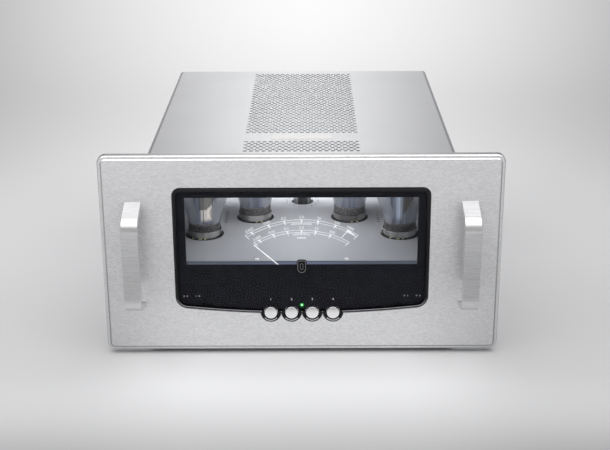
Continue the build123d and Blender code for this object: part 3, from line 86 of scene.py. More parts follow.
# Rings turned about a valve's axis: radius, and height over the ring's level
BAND_SECTION = ((0.0172, -0.004), (0.0180, 0.0), (0.0188, 0.0075), (0.0150, 0.0085), (0.0150, -0.004))
GETTER_SECTION = ((0.0275, -0.022), (0.0235, -0.0125), (0.0165, -0.0055), (0.008, -0.0026), (0.0, -0.0018))
OPENING_SECTION = ((0.0201, 0.0), (0.0226, 0.0), (0.0226, 0.00025), (0.0222, 0.0004), (0.0201, 0.0004))

# Where the gold contacts show round a front valve and a rear one, in degrees from the right
FRONT_CONTACTS = (-125, -102, -97, -84, 174)
REAR_CONTACTS = (-84, -66)


# Settings


def length(name, description, default):
    """A size in metres."""
    return FloatProperty(name=name, description=description, default=default, unit="LENGTH")


def angle(name, description, degrees):
    """An angle, whose default is written in degrees."""
    return FloatProperty(name=name, description=description, default=math.radians(degrees), unit="ROTATION")


def tint(name, description, default):
    """A colour of red, green and blue parts."""
    return FloatVectorProperty(
        name=name, description=description, default=default, subtype="COLOR", size=3, min=0, max=1
    )


class ScaleSettings(bpy.types.PropertyGroup):
    """Sizes of the lit meter scale."""

    outer_radius: length("Outer arc", "Radius of the outer arc", 0.113)
    inner_radius: length("Inner arc", "Radius of the inner arc", 0.102)
    outer_drop: length("Outer centre drop", "How far the outer arc's centre is below the pivot", 0.0378)
    inner_drop: length("Inner centre drop", "How far the inner arc's centre is below the pivot", 0.0390)
    outer_half: length("Outer half chord", "Half the width of the outer arc", 0.062)
    inner_half: length("Inner half chord", "Half the width of the inner arc", 0.0524)
    line_width: length("Line width", "Width of a scale line", 0.00045)
    line_gap: length("Line gap", "Distance between an arc's two lines", 0.0027)
    numeral_height: length("Numeral height", "Height of the numerals", 0.0031)


class ColourSettings(bpy.types.PropertyGroup):
    """Main colours of the finishes."""

    silver: tint("Silver", "Anodised aluminium of the front and the handles", (0.92, 0.92, 0.93))
    cover: tint("Cover", "Bead-blasted aluminium of the cover", (0.955, 0.96, 0.98))
    deck: tint("Deck", "Painted inner deck", (0.50, 0.495, 0.51))
    black: tint("Black", "Black of the display", (0.012, 0.012, 0.016))
    floor: tint("Floor", "Pale floor and backdrop", (0.93, 0.93, 0.94))


class StageSettings(bpy.types.PropertyGroup):
    """Camera and lamps."""

    eye: FloatVectorProperty(
        name="Camera place", description="Where the camera stands",
        default=(0.00965, -1.4966, PANEL_TOP + 0.3912), subtype="XYZ", unit="LENGTH", size=3,
    )
    pitch: angle("Pitch", "How far the camera looks down", 20.132)
    heading: angle("Heading", "Turn of the camera to its left", 0.259)
    roll: angle("Roll", "Turn of the camera about its view", -0.281)
    focal_length: FloatProperty(
        name="Focal length", description="Camera focal length in millimetres", default=74.16, unit="CAMERA"
    )
    world_level: FloatProperty(
        name="Surroundings", description="Strength of the plain surroundings", default=0.50
    )
    top_power: FloatProperty(
        name="Top softbox", description="Power of the softbox overhead", default=80.0, unit="POWER"
    )
    inside_power: FloatProperty(
        name="Inside lamps", description="Power of the lamps under the cover", default=0.15, unit="POWER"
    )
    sweep_steps: IntProperty(name="Sweep steps", description="Steps in the backdrop's curve", default=24, min=4)


# Shader maths


class Field:
    """A number or colour that varies over a surface: one output of a material's nodes."""

    def __init__(self, finish, socket):
        self.finish = finish
        self.socket = socket

    def __add__(self, other):
        return self.finish.math("ADD", self, other)

    def __radd__(self, other):
        return self.finish.math("ADD", other, self)

    def __sub__(self, other):
        return self.finish.math("SUBTRACT", self, other)

    def __rsub__(self, other):
        return self.finish.math("SUBTRACT", other, self)

    def __mul__(self, other):
        return self.finish.math("MULTIPLY", self, other)

    def __rmul__(self, other):
        return self.finish.math("MULTIPLY", other, self)

    def __pow__(self, other):
        return self.finish.math("POWER", self, other)


class Finish:
    """A material built node by node."""

    def __init__(self, name):
        self.material = bpy.data.materials.new(name)
        self.material.use_nodes = True
        self.tree = self.material.node_tree
        self.tree.nodes.clear()

    def node(self, kind, settings=None, inputs=None, output=0):
        """Adds a node, with its settings first, and gives one of its outputs."""
        made = self.tree.nodes.new(kind)
        for name, value in (settings or {}).items():
            setattr(made, name, value)
        for name, value in (inputs or {}).items():
            if isinstance(value, Field):
                self.tree.links.new(value.socket, made.inputs[name])
            else:
                made.inputs[name].default_value = value
        return Field(self, made.outputs[output])

    def math(self, operation, first, second):
        return self.node("ShaderNodeMath", {"operation": operation}, {0: first, 1: second})

    def size(self, value):
        """The value without its sign."""
        return self.node("ShaderNodeMath", {"operation": "ABSOLUTE"}, {0: value})

    def larger(self, first, second):
        return self.math("MAXIMUM", first, second)

    def smooth(self, value, low, high):
        """0 below low, 1 above high, eased between."""
        settings = {"interpolation_type": "SMOOTHSTEP"}
        inputs = {"Value": value, "From Min": low, "From Max": high}
        return self.node("ShaderNodeMapRange", settings, inputs)

    def span(self, value, start, full, fade, end):
        """1 between full and fade, eased down to 0 at start and at end."""
        return self.smooth(value, start, full) * (1 - self.smooth(value, fade, end))

    def blend(self, factor, first, second):
        """A colour between two colours."""
        inputs = {0: factor, 6: colour(first), 7: colour(second)}
        return self.node("ShaderNodeMix", {"data_type": "RGBA"}, inputs, 2)

    def place(self, scale=(1, 1, 1), centre=(0, 0, 0)):
        """Object coordinates, centred and scaled."""
        where = self.node("ShaderNodeTexCoord", output="Object")
        moved = self.node("ShaderNodeVectorMath", {"operation": "SUBTRACT"}, {0: where, 1: centre})
        return self.node("ShaderNodeMapping", {}, {"Vector": moved, "Scale": scale})

    def reach(self, centre):
        """Distance from a point."""
        away = self.place(centre=centre)
        return self.node("ShaderNodeVectorMath", {"operation": "LENGTH"}, {0: away}, "Value")

    def axis(self, letter):
        """One of the object coordinates."""
        where = self.node("ShaderNodeTexCoord", output="Object")
        return self.node("ShaderNodeSeparateXYZ", {}, {0: where}, letter)

    def noise(self, scale, detail=2.0, roughness=0.5):
        """Cloudy noise; its scale is one number, or one along each axis."""
        where = self.place(scale if isinstance(scale, tuple) else (scale, scale, scale))
        inputs = {"Vector": where, "Scale": 1.0, "Detail": detail, "Roughness": roughness}
        return self.node("ShaderNodeTexNoise", {}, inputs)

    def bump(self, height, distance, strength=1.0):
        return self.node("ShaderNodeBump", {}, {"Height": height, "Distance": distance, "Strength": strength})

    def finish(self, shader):
        """Ends the material in this shader."""
        end = self.tree.nodes.new("ShaderNodeOutputMaterial")
        self.tree.links.new(shader.socket, end.inputs["Surface"])
        return self.material

    def surface(self, **sockets):
        """Ends the material in a principled shader; its sockets are written with underscores."""
        inputs = {name.replace("_", " "): value for name, value in sockets.items()}
        for name in {"Base Color", "Emission Color"}.intersection(inputs):
            inputs[name] = colour(inputs[name])
        return self.finish(self.node("ShaderNodeBsdfPrincipled", {}, inputs))


def colour(value):
    """A colour with its alpha, or the field as it is."""
    if isinstance(value, Field):
        return value
    return (*tuple(value)[:3], 1.0)


def shade(value, factor):
    """A colour made darker or lighter."""
    return tuple(min(1.0, part * factor) for part in tuple(value)[:3])


# Finishes


def brushed(name, base, roughness, scale, spread, streaks, edge=None):
    """Anodised metal with fine brush lines; the scale has small numbers along the lines."""
    f = Finish(name)
    fine = f.noise(scale, 4.0, 0.7)
    broad = f.noise((scale[0] * 0.4, scale[1] * 0.2, scale[2] * 0.2), 3.0)
    cloud = f.noise(14)
    tone = fine * (0.9 - streaks) + broad * streaks + cloud * 0.1
    base_colour = f.blend(f.smooth(tone, 0.35, 0.65), shade(base, 1 - spread), shade(base, 1 + spread * 0.6))
    # Painted shade: where an edge field is given, the colour is drawn towards a dark shade of the base.
    if edge:
        base_colour = f.blend(edge(f), base_colour, shade(base, 0.45))
    normal = f.bump(fine * (1 - streaks) + broad * streaks, 0.00004)
    rough = roughness + (tone - 0.5) * 0.25
    return f.surface(Base_Color=base_colour, Metallic=1.0, Roughness=rough, Normal=normal)


def panel_edge(f):
    """Painted shade: darkens the step round the front panel's face, except along its top, and the panel's low
    ends.
    """
    low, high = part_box("front_panel")
    corner = 0.009
    across = f.size(f.axis("X"))
    x = across - (high.x - corner)
    z = f.size(f.axis("Z") - (low.z + high.z) / 2) - ((high.z - low.z) / 2 - corner)
    outside = (f.larger(x, 0.0) ** 2 + f.larger(z, 0.0) ** 2) ** 0.5
    inside = corner - outside
    step = f.span(inside, 0.0030, 0.0035, 0.0048, 0.0053)
    outer = 1 - f.smooth(inside, 0.0002, 0.0010)
    below_top = 1 - f.smooth(f.axis("Z"), high.z - 0.009, high.z - 0.006)
    shaded = 1 - f.smooth(f.axis("Z"), low.z, low.z + 0.15)
    ends = f.smooth(across, 0.11, high.x)
    return (step * 0.75 + outer * 0.6) * below_top + shaded * (ends * 0.26 + 0.11)


def blasted(name, base):
    """Bead-blasted anodised aluminium: an even satin grain."""
    f = Finish(name)
    grain = f.noise(2600, 2.0, 0.6)
    cloud = f.noise(9)
    base_colour = f.blend(f.smooth(grain * 0.5 + cloud * 0.5, 0.3, 0.7), shade(base, 0.95), shade(base, 1.03))
    normal = f.bump(grain, 0.00003)
    rough = 0.34 + (grain - 0.5) * 0.12
    return f.surface(Base_Color=base_colour, Metallic=1.0, Roughness=rough, Normal=normal)


def plated(name, base):
    """Zinc-plated sheet with a faint spangle."""
    f = Finish(name)
    where = f.place((160, 160, 160))
    spangle = f.node("ShaderNodeTexVoronoi", {}, {"Vector": where, "Scale": 1.0, "Randomness": 1.0})
    cloud = f.noise(30, 3.0)
    base_colour = f.blend(f.smooth(spangle * 0.6 + cloud * 0.4, 0.2, 0.75), shade(base, 0.9), base)
    rough = 0.34 + cloud * 0.12
    normal = f.bump(cloud, 0.0001, 0.3)
    return f.surface(Base_Color=base_colour, Metallic=1.0, Roughness=rough, Normal=normal)


def satin_paint(name, base, roughness, fleck, grain=1800):
    """Powder paint with a fine texture."""
    f = Finish(name)
    fine = f.noise(grain)
    cloud = f.noise(12)
    tone = f.smooth(fine * 0.5 + cloud * 0.5, 0.3, 0.7)
    base_colour = f.blend(tone, shade(base, 1 - fleck), shade(base, 1 + fleck))
    normal = f.bump(fine, 0.00004)
    rough = roughness + (cloud - 0.5) * 0.1
    return f.surface(Base_Color=base_colour, Roughness=rough, Normal=normal)


def gloss(name, base, roughness, coat, specular=0.5):
    """Gloss lacquer or moulded plastic with a very slight ripple."""
    f = Finish(name)
    ripple = f.noise(90)
    fine = f.noise(700)
    base_colour = f.blend(f.smooth(ripple, 0.35, 0.65), shade(base, 0.9), shade(base, 1.1))
    rough = roughness + (fine - 0.5) * 0.05
    normal = f.bump(ripple * 0.5 + fine * 0.5, 0.00001)
    return f.surface(Base_Color=base_colour, Roughness=rough, Normal=normal, Coat_Weight=coat,
                     Coat_Roughness=0.05, Specular_IOR_Level=specular)


def clear(name, tint, shine, shine_share, floor=0.0, smoke=0.0, rim=0.0):
    """Clear plate or bulb: lets light through, mirrors more at a slant and has a painted reflection as a pale
    outline.
    """
    f = Finish(name)
    through = f.node("ShaderNodeBsdfTransparent", {}, {"Color": colour(tint)})
    mirror = f.node("ShaderNodeBsdfGlossy", {}, {"Color": (0.95, 0.96, 1.0, 1.0), "Roughness": shine})
    slant = f.node("ShaderNodeFresnel", {}, {"IOR": 1.45})
    dust = f.smooth(f.noise(60, 3.0), 0.35, 0.8)
    factor = slant * shine_share + floor + dust * smoke
    glass = f.node("ShaderNodeMixShader", {}, {0: factor, 1: through, 2: mirror})
    if not rim:
        return f.finish(glass)
    # Painted reflection: a pale diffuse outline where the glass is seen at a slant.
    pale = f.node("ShaderNodeBsdfDiffuse", {}, {"Color": (0.9, 0.9, 0.92, 1.0)})
    outline = f.smooth(slant, 0.50, 0.95) * rim
    return f.finish(f.node("ShaderNodeMixShader", {}, {0: outline, 1: glass, 2: pale}))


def glowing(name, base, light, strength, core=0.6):
    """Lit lettering or a lamp lens, slightly uneven."""
    f = Finish(name)
    patch = f.noise(400)
    tone = f.blend(f.smooth(patch, 0.3, 0.7), shade(light, core), light)
    return f.surface(Base_Color=base, Roughness=0.4, Emission_Color=tone, Emission_Strength=strength)


def lit_lens(name, node, edge, core):
    """A small round lamp, palest in its middle."""
    f = Finish(name)
    reach = f.reach(front_centre(node))
    tone = f.blend(f.smooth(reach, 0.0006, 0.0014), core, edge)
    return f.surface(Base_Color=edge, Roughness=0.3, Emission_Color=tone, Emission_Strength=1.2)


def winding(name, base):
    """Varnished paper wrap over a coil, with faint turns."""
    f = Finish(name)
    turns = f.node("ShaderNodeTexWave", {"bands_direction": "Z"}, {"Vector": f.place(), "Scale": 160.0})
    cloud = f.noise(40, 3.0)
    base_colour = f.blend(turns * 0.5 + cloud * 0.5, shade(base, 0.7), shade(base, 1.25))
    normal = f.bump(turns, 0.0002, 0.6)
    return f.surface(Base_Color=base_colour, Roughness=0.38 + cloud * 0.2, Normal=normal)


def laminated(name, base):
    """Stacked core sheets, seen as fine lines across the stack."""
    f = Finish(name)
    sheets = f.node("ShaderNodeTexWave", {"bands_direction": "Y"}, {"Vector": f.place(), "Scale": 320.0})
    cloud = f.noise(50, 3.0)
    base_colour = f.blend(sheets * 0.6 + cloud * 0.4, shade(base, 0.6), shade(base, 1.3))
    normal = f.bump(sheets, 0.0002, 0.7)
    return f.surface(Base_Color=base_colour, Metallic=0.6, Roughness=0.45 + cloud * 0.15, Normal=normal)


def board(name, base, copper):
    """Circuit board with copper areas under the green mask."""
    f = Finish(name)
    inputs = {"Vector": f.place((1, 1, 0.02)), "Scale": 90.0}
    tracks = f.node("ShaderNodeTexBrick", {}, inputs, "Fac")
    cloud = f.noise(70, 3.0)
    base_colour = f.blend(f.smooth(tracks * 0.5 + cloud * 0.5, 0.4, 0.6), base, copper)
    normal = f.bump(tracks, 0.00005)
    return f.surface(Base_Color=base_colour, Roughness=0.35 + cloud * 0.15, Normal=normal)


def rubber(name, base):
    """Moulded rubber with a dusty bloom."""
    f = Finish(name)
    fine = f.noise(900, 3.0)
    bloom = f.smooth(f.noise(35, 3.0), 0.4, 0.7)
    base_colour = f.blend(bloom, base, shade(base, 1.9))
    normal = f.bump(fine, 0.00008)
    return f.surface(Base_Color=base_colour, Roughness=0.72 + bloom * 0.12, Normal=normal)


def ceramic(name, base):
    """Glazed ceramic with tiny specks."""
    f = Finish(name)
    speck = f.smooth(f.noise(1400, 1.0), 0.62, 0.7)
    cloud = f.noise(40)
    base_colour = f.blend(speck, f.blend(cloud, shade(base, 0.92), base), shade(base, 0.5))
    normal = f.bump(cloud, 0.00005)
    return f.surface(Base_Color=base_colour, Roughness=0.25 + cloud * 0.1, Normal=normal)


def anode(name, base):
    """Grey-blue anode sheet with soft vertical bands, the painted sheen of what stands round the outer pair, and
    a painted glow.
    """
    f = Finish(name)
    x, y, z = f.axis("X"), f.axis("Y"), f.axis("Z") - DECK_TOP
    left = 0 - x
    bands = f.noise((150, 150, 5))
    heat = f.noise((30, 30, 18))
    cool = f.blend(f.smooth(bands, 0.3, 0.7), shade(base, 0.7), shade(base, 1.35))
    outer = f.smooth(0 - y, 0.09, 0.10)
    # Painted sheen: a cream patch on the outer left anode, with a dark dome over it.
    cream = f.span(x, -0.1190, -0.1165, -0.1070, -0.1000) * f.smooth(z, 0.0165, 0.0230) * outer
    tone = f.blend(cream, cool, (0.80, 0.73, 0.66))
    arch = z - (f.larger(x + 0.113, 0.0) ** 2) * 95
    dome = f.smooth(arch, 0.0330, 0.0340) * f.span(left, 0.09, 0.10, 0.1195, 0.1200)
    tone = f.blend(dome * outer * 0.8, tone, (0.10, 0.095, 0.09))
    # Painted sheen: a pale grey-blue patch and line on the outer right anode, with a brown patch over it.
    pale = f.span(x, 0.1060, 0.1155, 0.1160, 0.1166) * f.smooth(z, 0.0180, 0.0260) * outer
    tone = f.blend(pale * 0.75, tone, (0.60, 0.66, 0.76))
    brown = f.smooth(x, 0.1172, 0.1185) * f.smooth(z, 0.0275, 0.0300)
    tone = f.blend(brown * outer * 0.8, tone, (0.14, 0.115, 0.09))
    drivers = f.smooth(y, -0.02, 0.0)
    tone = f.blend(drivers, tone, (0.05, 0.05, 0.055))
    # Painted glow: the anodes give out a faint light of their own, strongest in the painted sheen.
    glow = f.blend(0.6 - (cream + pale) * 0.6, tone, (0.0, 0.0, 0.0))
    normal = f.bump(bands, 0.0003, 0.4)
    return f.surface(Base_Color=tone, Metallic=0.3, Roughness=0.34 + heat * 0.2, Normal=normal,
                     Emission_Color=glow, Emission_Strength=0.55)


def turned_collar(name, dark, light):
    """Nickel-plated ring with painted streaks that stand for the reflection of what stands round it."""
    f = Finish(name)
    streak = f.noise((55, 55, 6))
    fine = f.noise(1200)
    base_colour = f.blend(f.smooth(streak, 0.36, 0.64), dark, light)
    rough = 0.2 + (fine - 0.5) * 0.06 + streak * 0.1
    return f.surface(Base_Color=base_colour, Metallic=0.95, Roughness=rough, Normal=f.bump(fine, 0.00001))


def polished(name, base, roughness):
    """Turned and polished metal with a trace of turning lines."""
    f = Finish(name)
    fine = f.noise(1500)
    cloud = f.noise(60)
    base_colour = f.blend(cloud, shade(base, 0.95), shade(base, 1.04))
    normal = f.bump(fine, 0.000004)
    rough = roughness + (fine - 0.5) * 0.05
    return f.surface(Base_Color=base_colour, Metallic=1.0, Roughness=rough, Normal=normal)


def finishes(colours):
    """Every finish by the name of its slot: the function that makes it, and what that function is given."""
    silver, black = colours.silver, colours.black
    recipes = {
        "brushed_face": (brushed, shade(silver, 0.93), 0.38, (330, 900, 900), 0.14, 0.08, panel_edge),
        "brushed_handle": (brushed, shade(silver, 0.74), 0.30, (50, 900, 1500), 0.12, 0.1),
        "blasted_case": (blasted, colours.cover),
        "plated_sheet": (plated, (0.62, 0.63, 0.62)),
        "deck_metal": (satin_paint, colours.deck, 0.42, 0.03),
        "label_plate": (satin_paint, (0.78, 0.77, 0.755), 0.4, 0.03),
        "gloss_black": (gloss, shade(black, 0.2), 0.06, 0.0, 0.26),
        "mask_black": (gloss, black, 0.5, 0.0, 0.08),
        "clear_plate": (clear, (0.965, 0.975, 0.985), 0.02, 0.12),
        "matte_black": (satin_paint, (0.02, 0.02, 0.022), 0.55, 0.2, 900),
        "needle_white": (glowing, (0.8, 0.8, 0.8), (1.0, 1.0, 1.0), 0.9),
        "lamp_white": (glowing, (0.8, 0.8, 0.76), (1.0, 0.97, 0.9), 0.35),
        "lamp_green": (lit_lens, "status_led", (0.04, 0.75, 0.10), (0.75, 1.0, 0.72)),
        "lamp_grey": (glowing, (0.2, 0.2, 0.2), (0.4, 0.4, 0.4), 0.05),
        "button_metal": (polished, (0.86, 0.86, 0.86), 0.1),
        "circuit_board": (board, (0.008, 0.03, 0.015), (0.02, 0.08, 0.03)),
        "foot_rubber": (rubber, (0.02, 0.02, 0.02)),
        "screw_steel": (polished, (0.42, 0.42, 0.43), 0.28),
        "socket_ceramic": (ceramic, (0.72, 0.69, 0.62)),
        "collar_metal": (turned_collar, (0.22, 0.21, 0.20), (0.70, 0.68, 0.65)),
        "valve_glass": (clear, (0.985, 0.99, 0.995), 0.015, 0.05, 0.008, 0.02, 0.5),
        "anode_metal": (anode, (0.30, 0.32, 0.39)),
        "capacitor_sleeve": (gloss, (0.03, 0.05, 0.12), 0.25, 0.2),
        "core_steel": (laminated, (0.12, 0.12, 0.13)),
        "winding_wrap": (winding, (0.45, 0.27, 0.08)),
        "plated_brass": (polished, (0.80, 0.58, 0.24), 0.2),
    }
    return {name: make(name, *given) for name, (make, *given) in recipes.items()}


# Mesh helpers


def piece_from(name, mesh, material):
    """Makes a piece of a finished bmesh, which rides on the chassis."""
    data = bpy.data.meshes.new(name)
    bmesh.ops.recalc_face_normals(mesh, faces=mesh.faces)
    mesh.to_mesh(data)
    mesh.free()
    piece = bpy.data.objects.new(name, data)
    bpy.context.scene.collection.objects.link(piece)
    data.materials.append(material)
    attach(piece, "chassis")
    return piece


def add_bar(mesh, start, end, width, depth, end_width=None):
    """Adds a flat bar between two points in the plane of the scale, thick towards the viewer."""
    start, end = Vector(start), Vector(end)
    along = end - start
    across = Vector((-along.z, 0, along.x)).normalized()
    half, tip = width / 2, (width if end_width is None else end_width) / 2
    for vert in bmesh.ops.create_cube(mesh, size=1.0)["verts"]:
        base, reach = (end, tip) if vert.co.z > 0 else (start, half)
        vert.co = base + across * math.copysign(reach, vert.co.x) + Vector((0, vert.co.y * depth, 0))


def add_arc(mesh, centre, radius, first, last, width, depth, steps=40):
    """Adds an arc of flat section in the plane of the scale, by turning its section about the centre."""
    turn = Matrix.Rotation(-first, 3, "Y")
    corners = []
    for side, deep in ((-1, -1), (1, -1), (1, 1), (-1, 1)):
        corner = Vector((radius + side * width / 2, deep * depth / 2, 0))
        corners.append(mesh.verts.new(Vector(centre) + turn @ corner))
    face = mesh.faces.new(corners)
    bmesh.ops.spin(
        mesh, geom=[face], cent=centre, axis=(0, 1, 0), angle=-(last - first), steps=steps, use_merge=False
    )
    bmesh.ops.reverse_faces(mesh, faces=[face])


def add_text(mesh, words, height, centre, turn=0.0, lift=0.0):
    """Adds numerals as a thin mesh in the plane of the front, turned about their middle."""
    curve = bpy.data.curves.new("numerals", "FONT")
    curve.body = words
    curve.size = height / 0.7
    curve.align_x = "CENTER"
    curve.align_y = "CENTER"
    curve.extrude = 0.00005
    curve.offset = height * 0.02
    curve.resolution_u = 2
    source = bpy.data.objects.new("numerals", curve)
    bpy.context.scene.collection.objects.link(source)
    bpy.context.view_layer.update()
    made = bpy.data.meshes.new_from_object(source)
    bpy.data.objects.remove(source)
    place = Matrix.Translation(Vector(centre) + Vector((0, -lift, 0)))
    made.transform(place @ Matrix.Rotation(turn, 4, "Y") @ Matrix.Rotation(math.radians(90), 4, "X"))
    mesh.from_mesh(made)
    bpy.data.meshes.remove(made)


def add_ring(mesh, centre, section, level, closed=True):
    """Turns a section of radius and height about a vertical axis."""
    verts = [mesh.verts.new((centre.x + r, centre.y, level + z)) for r, z in section]
    edges = [mesh.edges.new(pair) for pair in zip(verts, verts[1:])]
    if closed:
        edges.append(mesh.edges.new((verts[-1], verts[0])))
    bmesh.ops.spin(
        mesh, geom=verts + edges, cent=(centre.x, centre.y, 0), axis=(0, 0, 1),
        angle=math.tau, steps=40, use_merge=True,
    )
    bmesh.ops.remove_doubles(mesh, verts=mesh.verts, dist=0.00001)


def add_rod(mesh, start, end, radius):
    """Adds a thin round rod with rounded ends between two points."""
    along = Vector(end) - Vector(start)
    turn = along.to_track_quat("Z", "Y").to_matrix().to_4x4()
    place = Matrix.Translation((Vector(start) + Vector(end)) / 2) @ turn
    made = bmesh.ops.create_cone(
        mesh, cap_ends=True, segments=8, radius1=radius, radius2=radius, depth=along.length, matrix=place
    )["verts"]
    ends = [edge for edge in {edge for vert in made for edge in vert.link_edges}
            if len(edge.link_faces) == 2 and any(len(face.verts) > 4 for face in edge.link_faces)]
    bmesh.ops.bevel(
        mesh, geom=ends, offset=radius * 0.4, segments=2, profile=0.5, affect="EDGES", material=-1
    )


def loose_places(node, level, size=0.041, slack=0.0005):
    """Centres of a node's separate solids, found from its corners near a height."""
    groups = []
    for vert in frame["nodes"][node].data.vertices:
        if abs(vert.co.z - level) > slack:
            continue
        for group in groups:
            if (group[0] - vert.co).length < size:
                group.append(vert.co.copy())
                break
        else:
            groups.append([vert.co.copy()])
    places = []
    for points in groups:
        xs = [p.x for p in points]
        ys = [p.y for p in points]
        places.append(Vector(((min(xs) + max(xs)) / 2, (min(ys) + max(ys)) / 2, level)))
    return sorted(places, key=lambda p: p.x)


# Operators


class AMPLIFIER_OT_finishes(bpy.types.Operator):
    """Gives every piece of the construction model the finish of its slot"""

    bl_idname = "amplifier.finishes"
    bl_label = "Finishes"

    def execute(self, context):
        made = finishes(context.scene.amplifier_colours)
        for part in frame["record"]["subparts"]:
            for slot in frame["nodes"][part["node"]].material_slots:
                slot.material = made[part["material_slot"]]
        return {"FINISHED"}


class AMPLIFIER_OT_scale(bpy.types.Operator):
    """Builds the lit meter scale: two double arcs, wedge ticks, brackets and numerals"""

    bl_idname = "amplifier.scale"
    bl_label = "Meter scale"

    # Thickness of every line, length of the end brackets, and gap under a numeral
    depth = 0.0002
    bracket = 0.0064
    numeral_gap = 0.0029
    # Width of a wedge, width of its tail and the tail's length below the arc
    wedge = 0.0030
    tick = 0.0007
    tick_below = 0.0024
    # Length of the strokes that stand for wording, and their place over the pivot
    stroke = 0.0019
    unit_rise = 0.0548

    def execute(self, context):
        s = context.scene.amplifier_scale
        lit = glowing("scale_lines", (0.1, 0.1, 0.1), (1.0, 1.0, 1.0), 0.95, 0.9)
        soft = glowing("scale_numerals", (0.1, 0.1, 0.1), (1.0, 1.0, 1.0), 0.8, 0.85)
        lines = bmesh.new()
        numerals = bmesh.new()
        self.add_row(s, lines, numerals, s.outer_radius, s.outer_drop, s.outer_half, OUTER_MARKS)
        self.add_row(s, lines, numerals, s.inner_radius, s.inner_drop, s.inner_half, INNER_MARKS)
        self.add_overload(s, lines)
        self.add_strokes(lines, 7, 0.0014, 0.0008, lambda x: PIVOT_Z + self.unit_rise)
        piece_from("scale_lines", lines, lit)
        piece_from("scale_numerals", numerals, soft)
        return {"FINISHED"}

    def add_row(self, s, lines, numerals, radius, drop, half, marks):
        """Adds one double arc with a bracket at each end, wedge ticks, numerals and a row of strokes."""
        centre = Vector((0, SCALE_Y, PIVOT_Z - drop))
        pivot = Vector((0, SCALE_Y, PIVOT_Z))
        reach = math.asin(half / radius)
        for line_radius in (radius, radius - s.line_gap):
            ends = math.pi / 2 - reach, math.pi / 2 + reach
            add_arc(lines, centre, line_radius, *ends, s.line_width, self.depth)
        for side in (-1, 1):
            corner = centre + radius * Vector((side * math.sin(reach), 0, math.cos(reach)))
            inward = (pivot - corner).normalized()
            add_bar(lines, corner, corner + inward * self.bracket, s.line_width * 1.3, self.depth)
        for words, x in marks:
            top = Vector((x, SCALE_Y, centre.z + math.sqrt(radius**2 - x**2)))
            inward = (pivot - top).normalized()
            low_line = top + inward * s.line_gap
            add_bar(lines, top, low_line + inward * 0.0003, self.wedge, self.depth, self.tick)
            add_bar(lines, low_line, low_line + inward * self.tick_below, self.tick, self.depth)
            turn = math.atan2(x, top.z - centre.z)
            add_text(numerals, words, s.numeral_height, top - inward * self.numeral_gap, turn)
        under = radius - s.line_gap - 0.0012
        self.add_strokes(
            numerals, int(half * 310), 0.0012, 0.00075, lambda x: centre.z + math.sqrt(under**2 - x**2)
        )

    def add_strokes(self, mesh, count, step, width, height):
        """Adds a row of short upright strokes in the place of a line of wording."""
        for i in range(count):
            x = (i - (count - 1) / 2) * step
            top = Vector((x, SCALE_Y, height(x)))
            add_bar(mesh, top, top - Vector((0, 0, self.stroke)), width, self.depth)

    def add_overload(self, s, lines):
        """Adds the filled wedge at the right end of the outer arc and its long tick."""
        centre = Vector((0, SCALE_Y, PIVOT_Z - s.outer_drop))
        start, end = (
            centre + Vector((x, 0, math.sqrt(s.outer_radius**2 - x**2))) for x in (OVERLOAD_X, s.outer_half)
        )
        inward = (Vector((0, SCALE_Y, PIVOT_Z)) - start).normalized()
        middle = start.lerp(end, 0.42) + inward * 0.0016
        tip = start.lerp(end, 0.8) + inward * 0.0020
        add_bar(lines, start + inward * 0.0012, middle, 0.0034, self.depth, 0.0016)
        add_bar(lines, middle, tip, 0.0016, self.depth, 0.0006)
        add_bar(lines, start, start + inward * 0.0112, 0.0008, self.depth)


class AMPLIFIER_OT_light_bar(bpy.types.Operator):
    """Builds the bluish light guide that shows as a thin strip along the window's lower edge"""

    bl_idname = "amplifier.light_bar"
    bl_label = "Light bar"

    # Half its length, its reach below and above the window's edge, and its thickness
    half_length = 0.1262
    below = 0.0015
    above = 0.0020
    thick = 0.0006

    def execute(self, context):
        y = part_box("meter_scale_plate")[0].y - 0.0012
        low, high = WINDOW_LOW - self.below, WINDOW_LOW + self.above
        back, crest = y + self.thick, y + 0.0002
        section = ((y, low), (back, low), (back, high), (crest, high + 0.0002), (y, high))
        bar = bmesh.new()
        face = bar.faces.new([bar.verts.new((-self.half_length, *point)) for point in section])
        made = bmesh.ops.extrude_face_region(bar, geom=[face], use_keep_orig=True)["geom"]
        moved = [item for item in made if isinstance(item, bmesh.types.BMVert)]
        bmesh.ops.translate(bar, verts=moved, vec=(2 * self.half_length, 0, 0))
        piece_from("light_bar", bar, self.bar_finish())
        return {"FINISHED"}

    def bar_finish(self):
        """Blue in its middle, with a dark line over and under it."""
        f = Finish("light_bar")
        middle = 1 - f.smooth(f.size(f.axis("X")), 0.01, 0.09)
        patch = f.noise((60, 5, 5), 3.0)
        over = f.smooth(f.axis("Z"), WINDOW_LOW + 0.0009, WINDOW_LOW + 0.0012)
        under = 1 - f.smooth(f.axis("Z"), WINDOW_LOW - 0.0003, WINDOW_LOW + 0.0001)
        blue = f.blend(middle * 0.75 + (patch - 0.5) * 0.6, (0.110, 0.121, 0.135), (0.20, 0.23, 0.33))
        tone = f.blend(over * 0.85 + under * 0.4, blue, (0.04, 0.052, 0.09))
        return f.surface(Base_Color=(0.02, 0.02, 0.03), Roughness=0.4, Emission_Color=tone,
                         Emission_Strength=0.9, Normal=f.bump(patch, 0.00005))


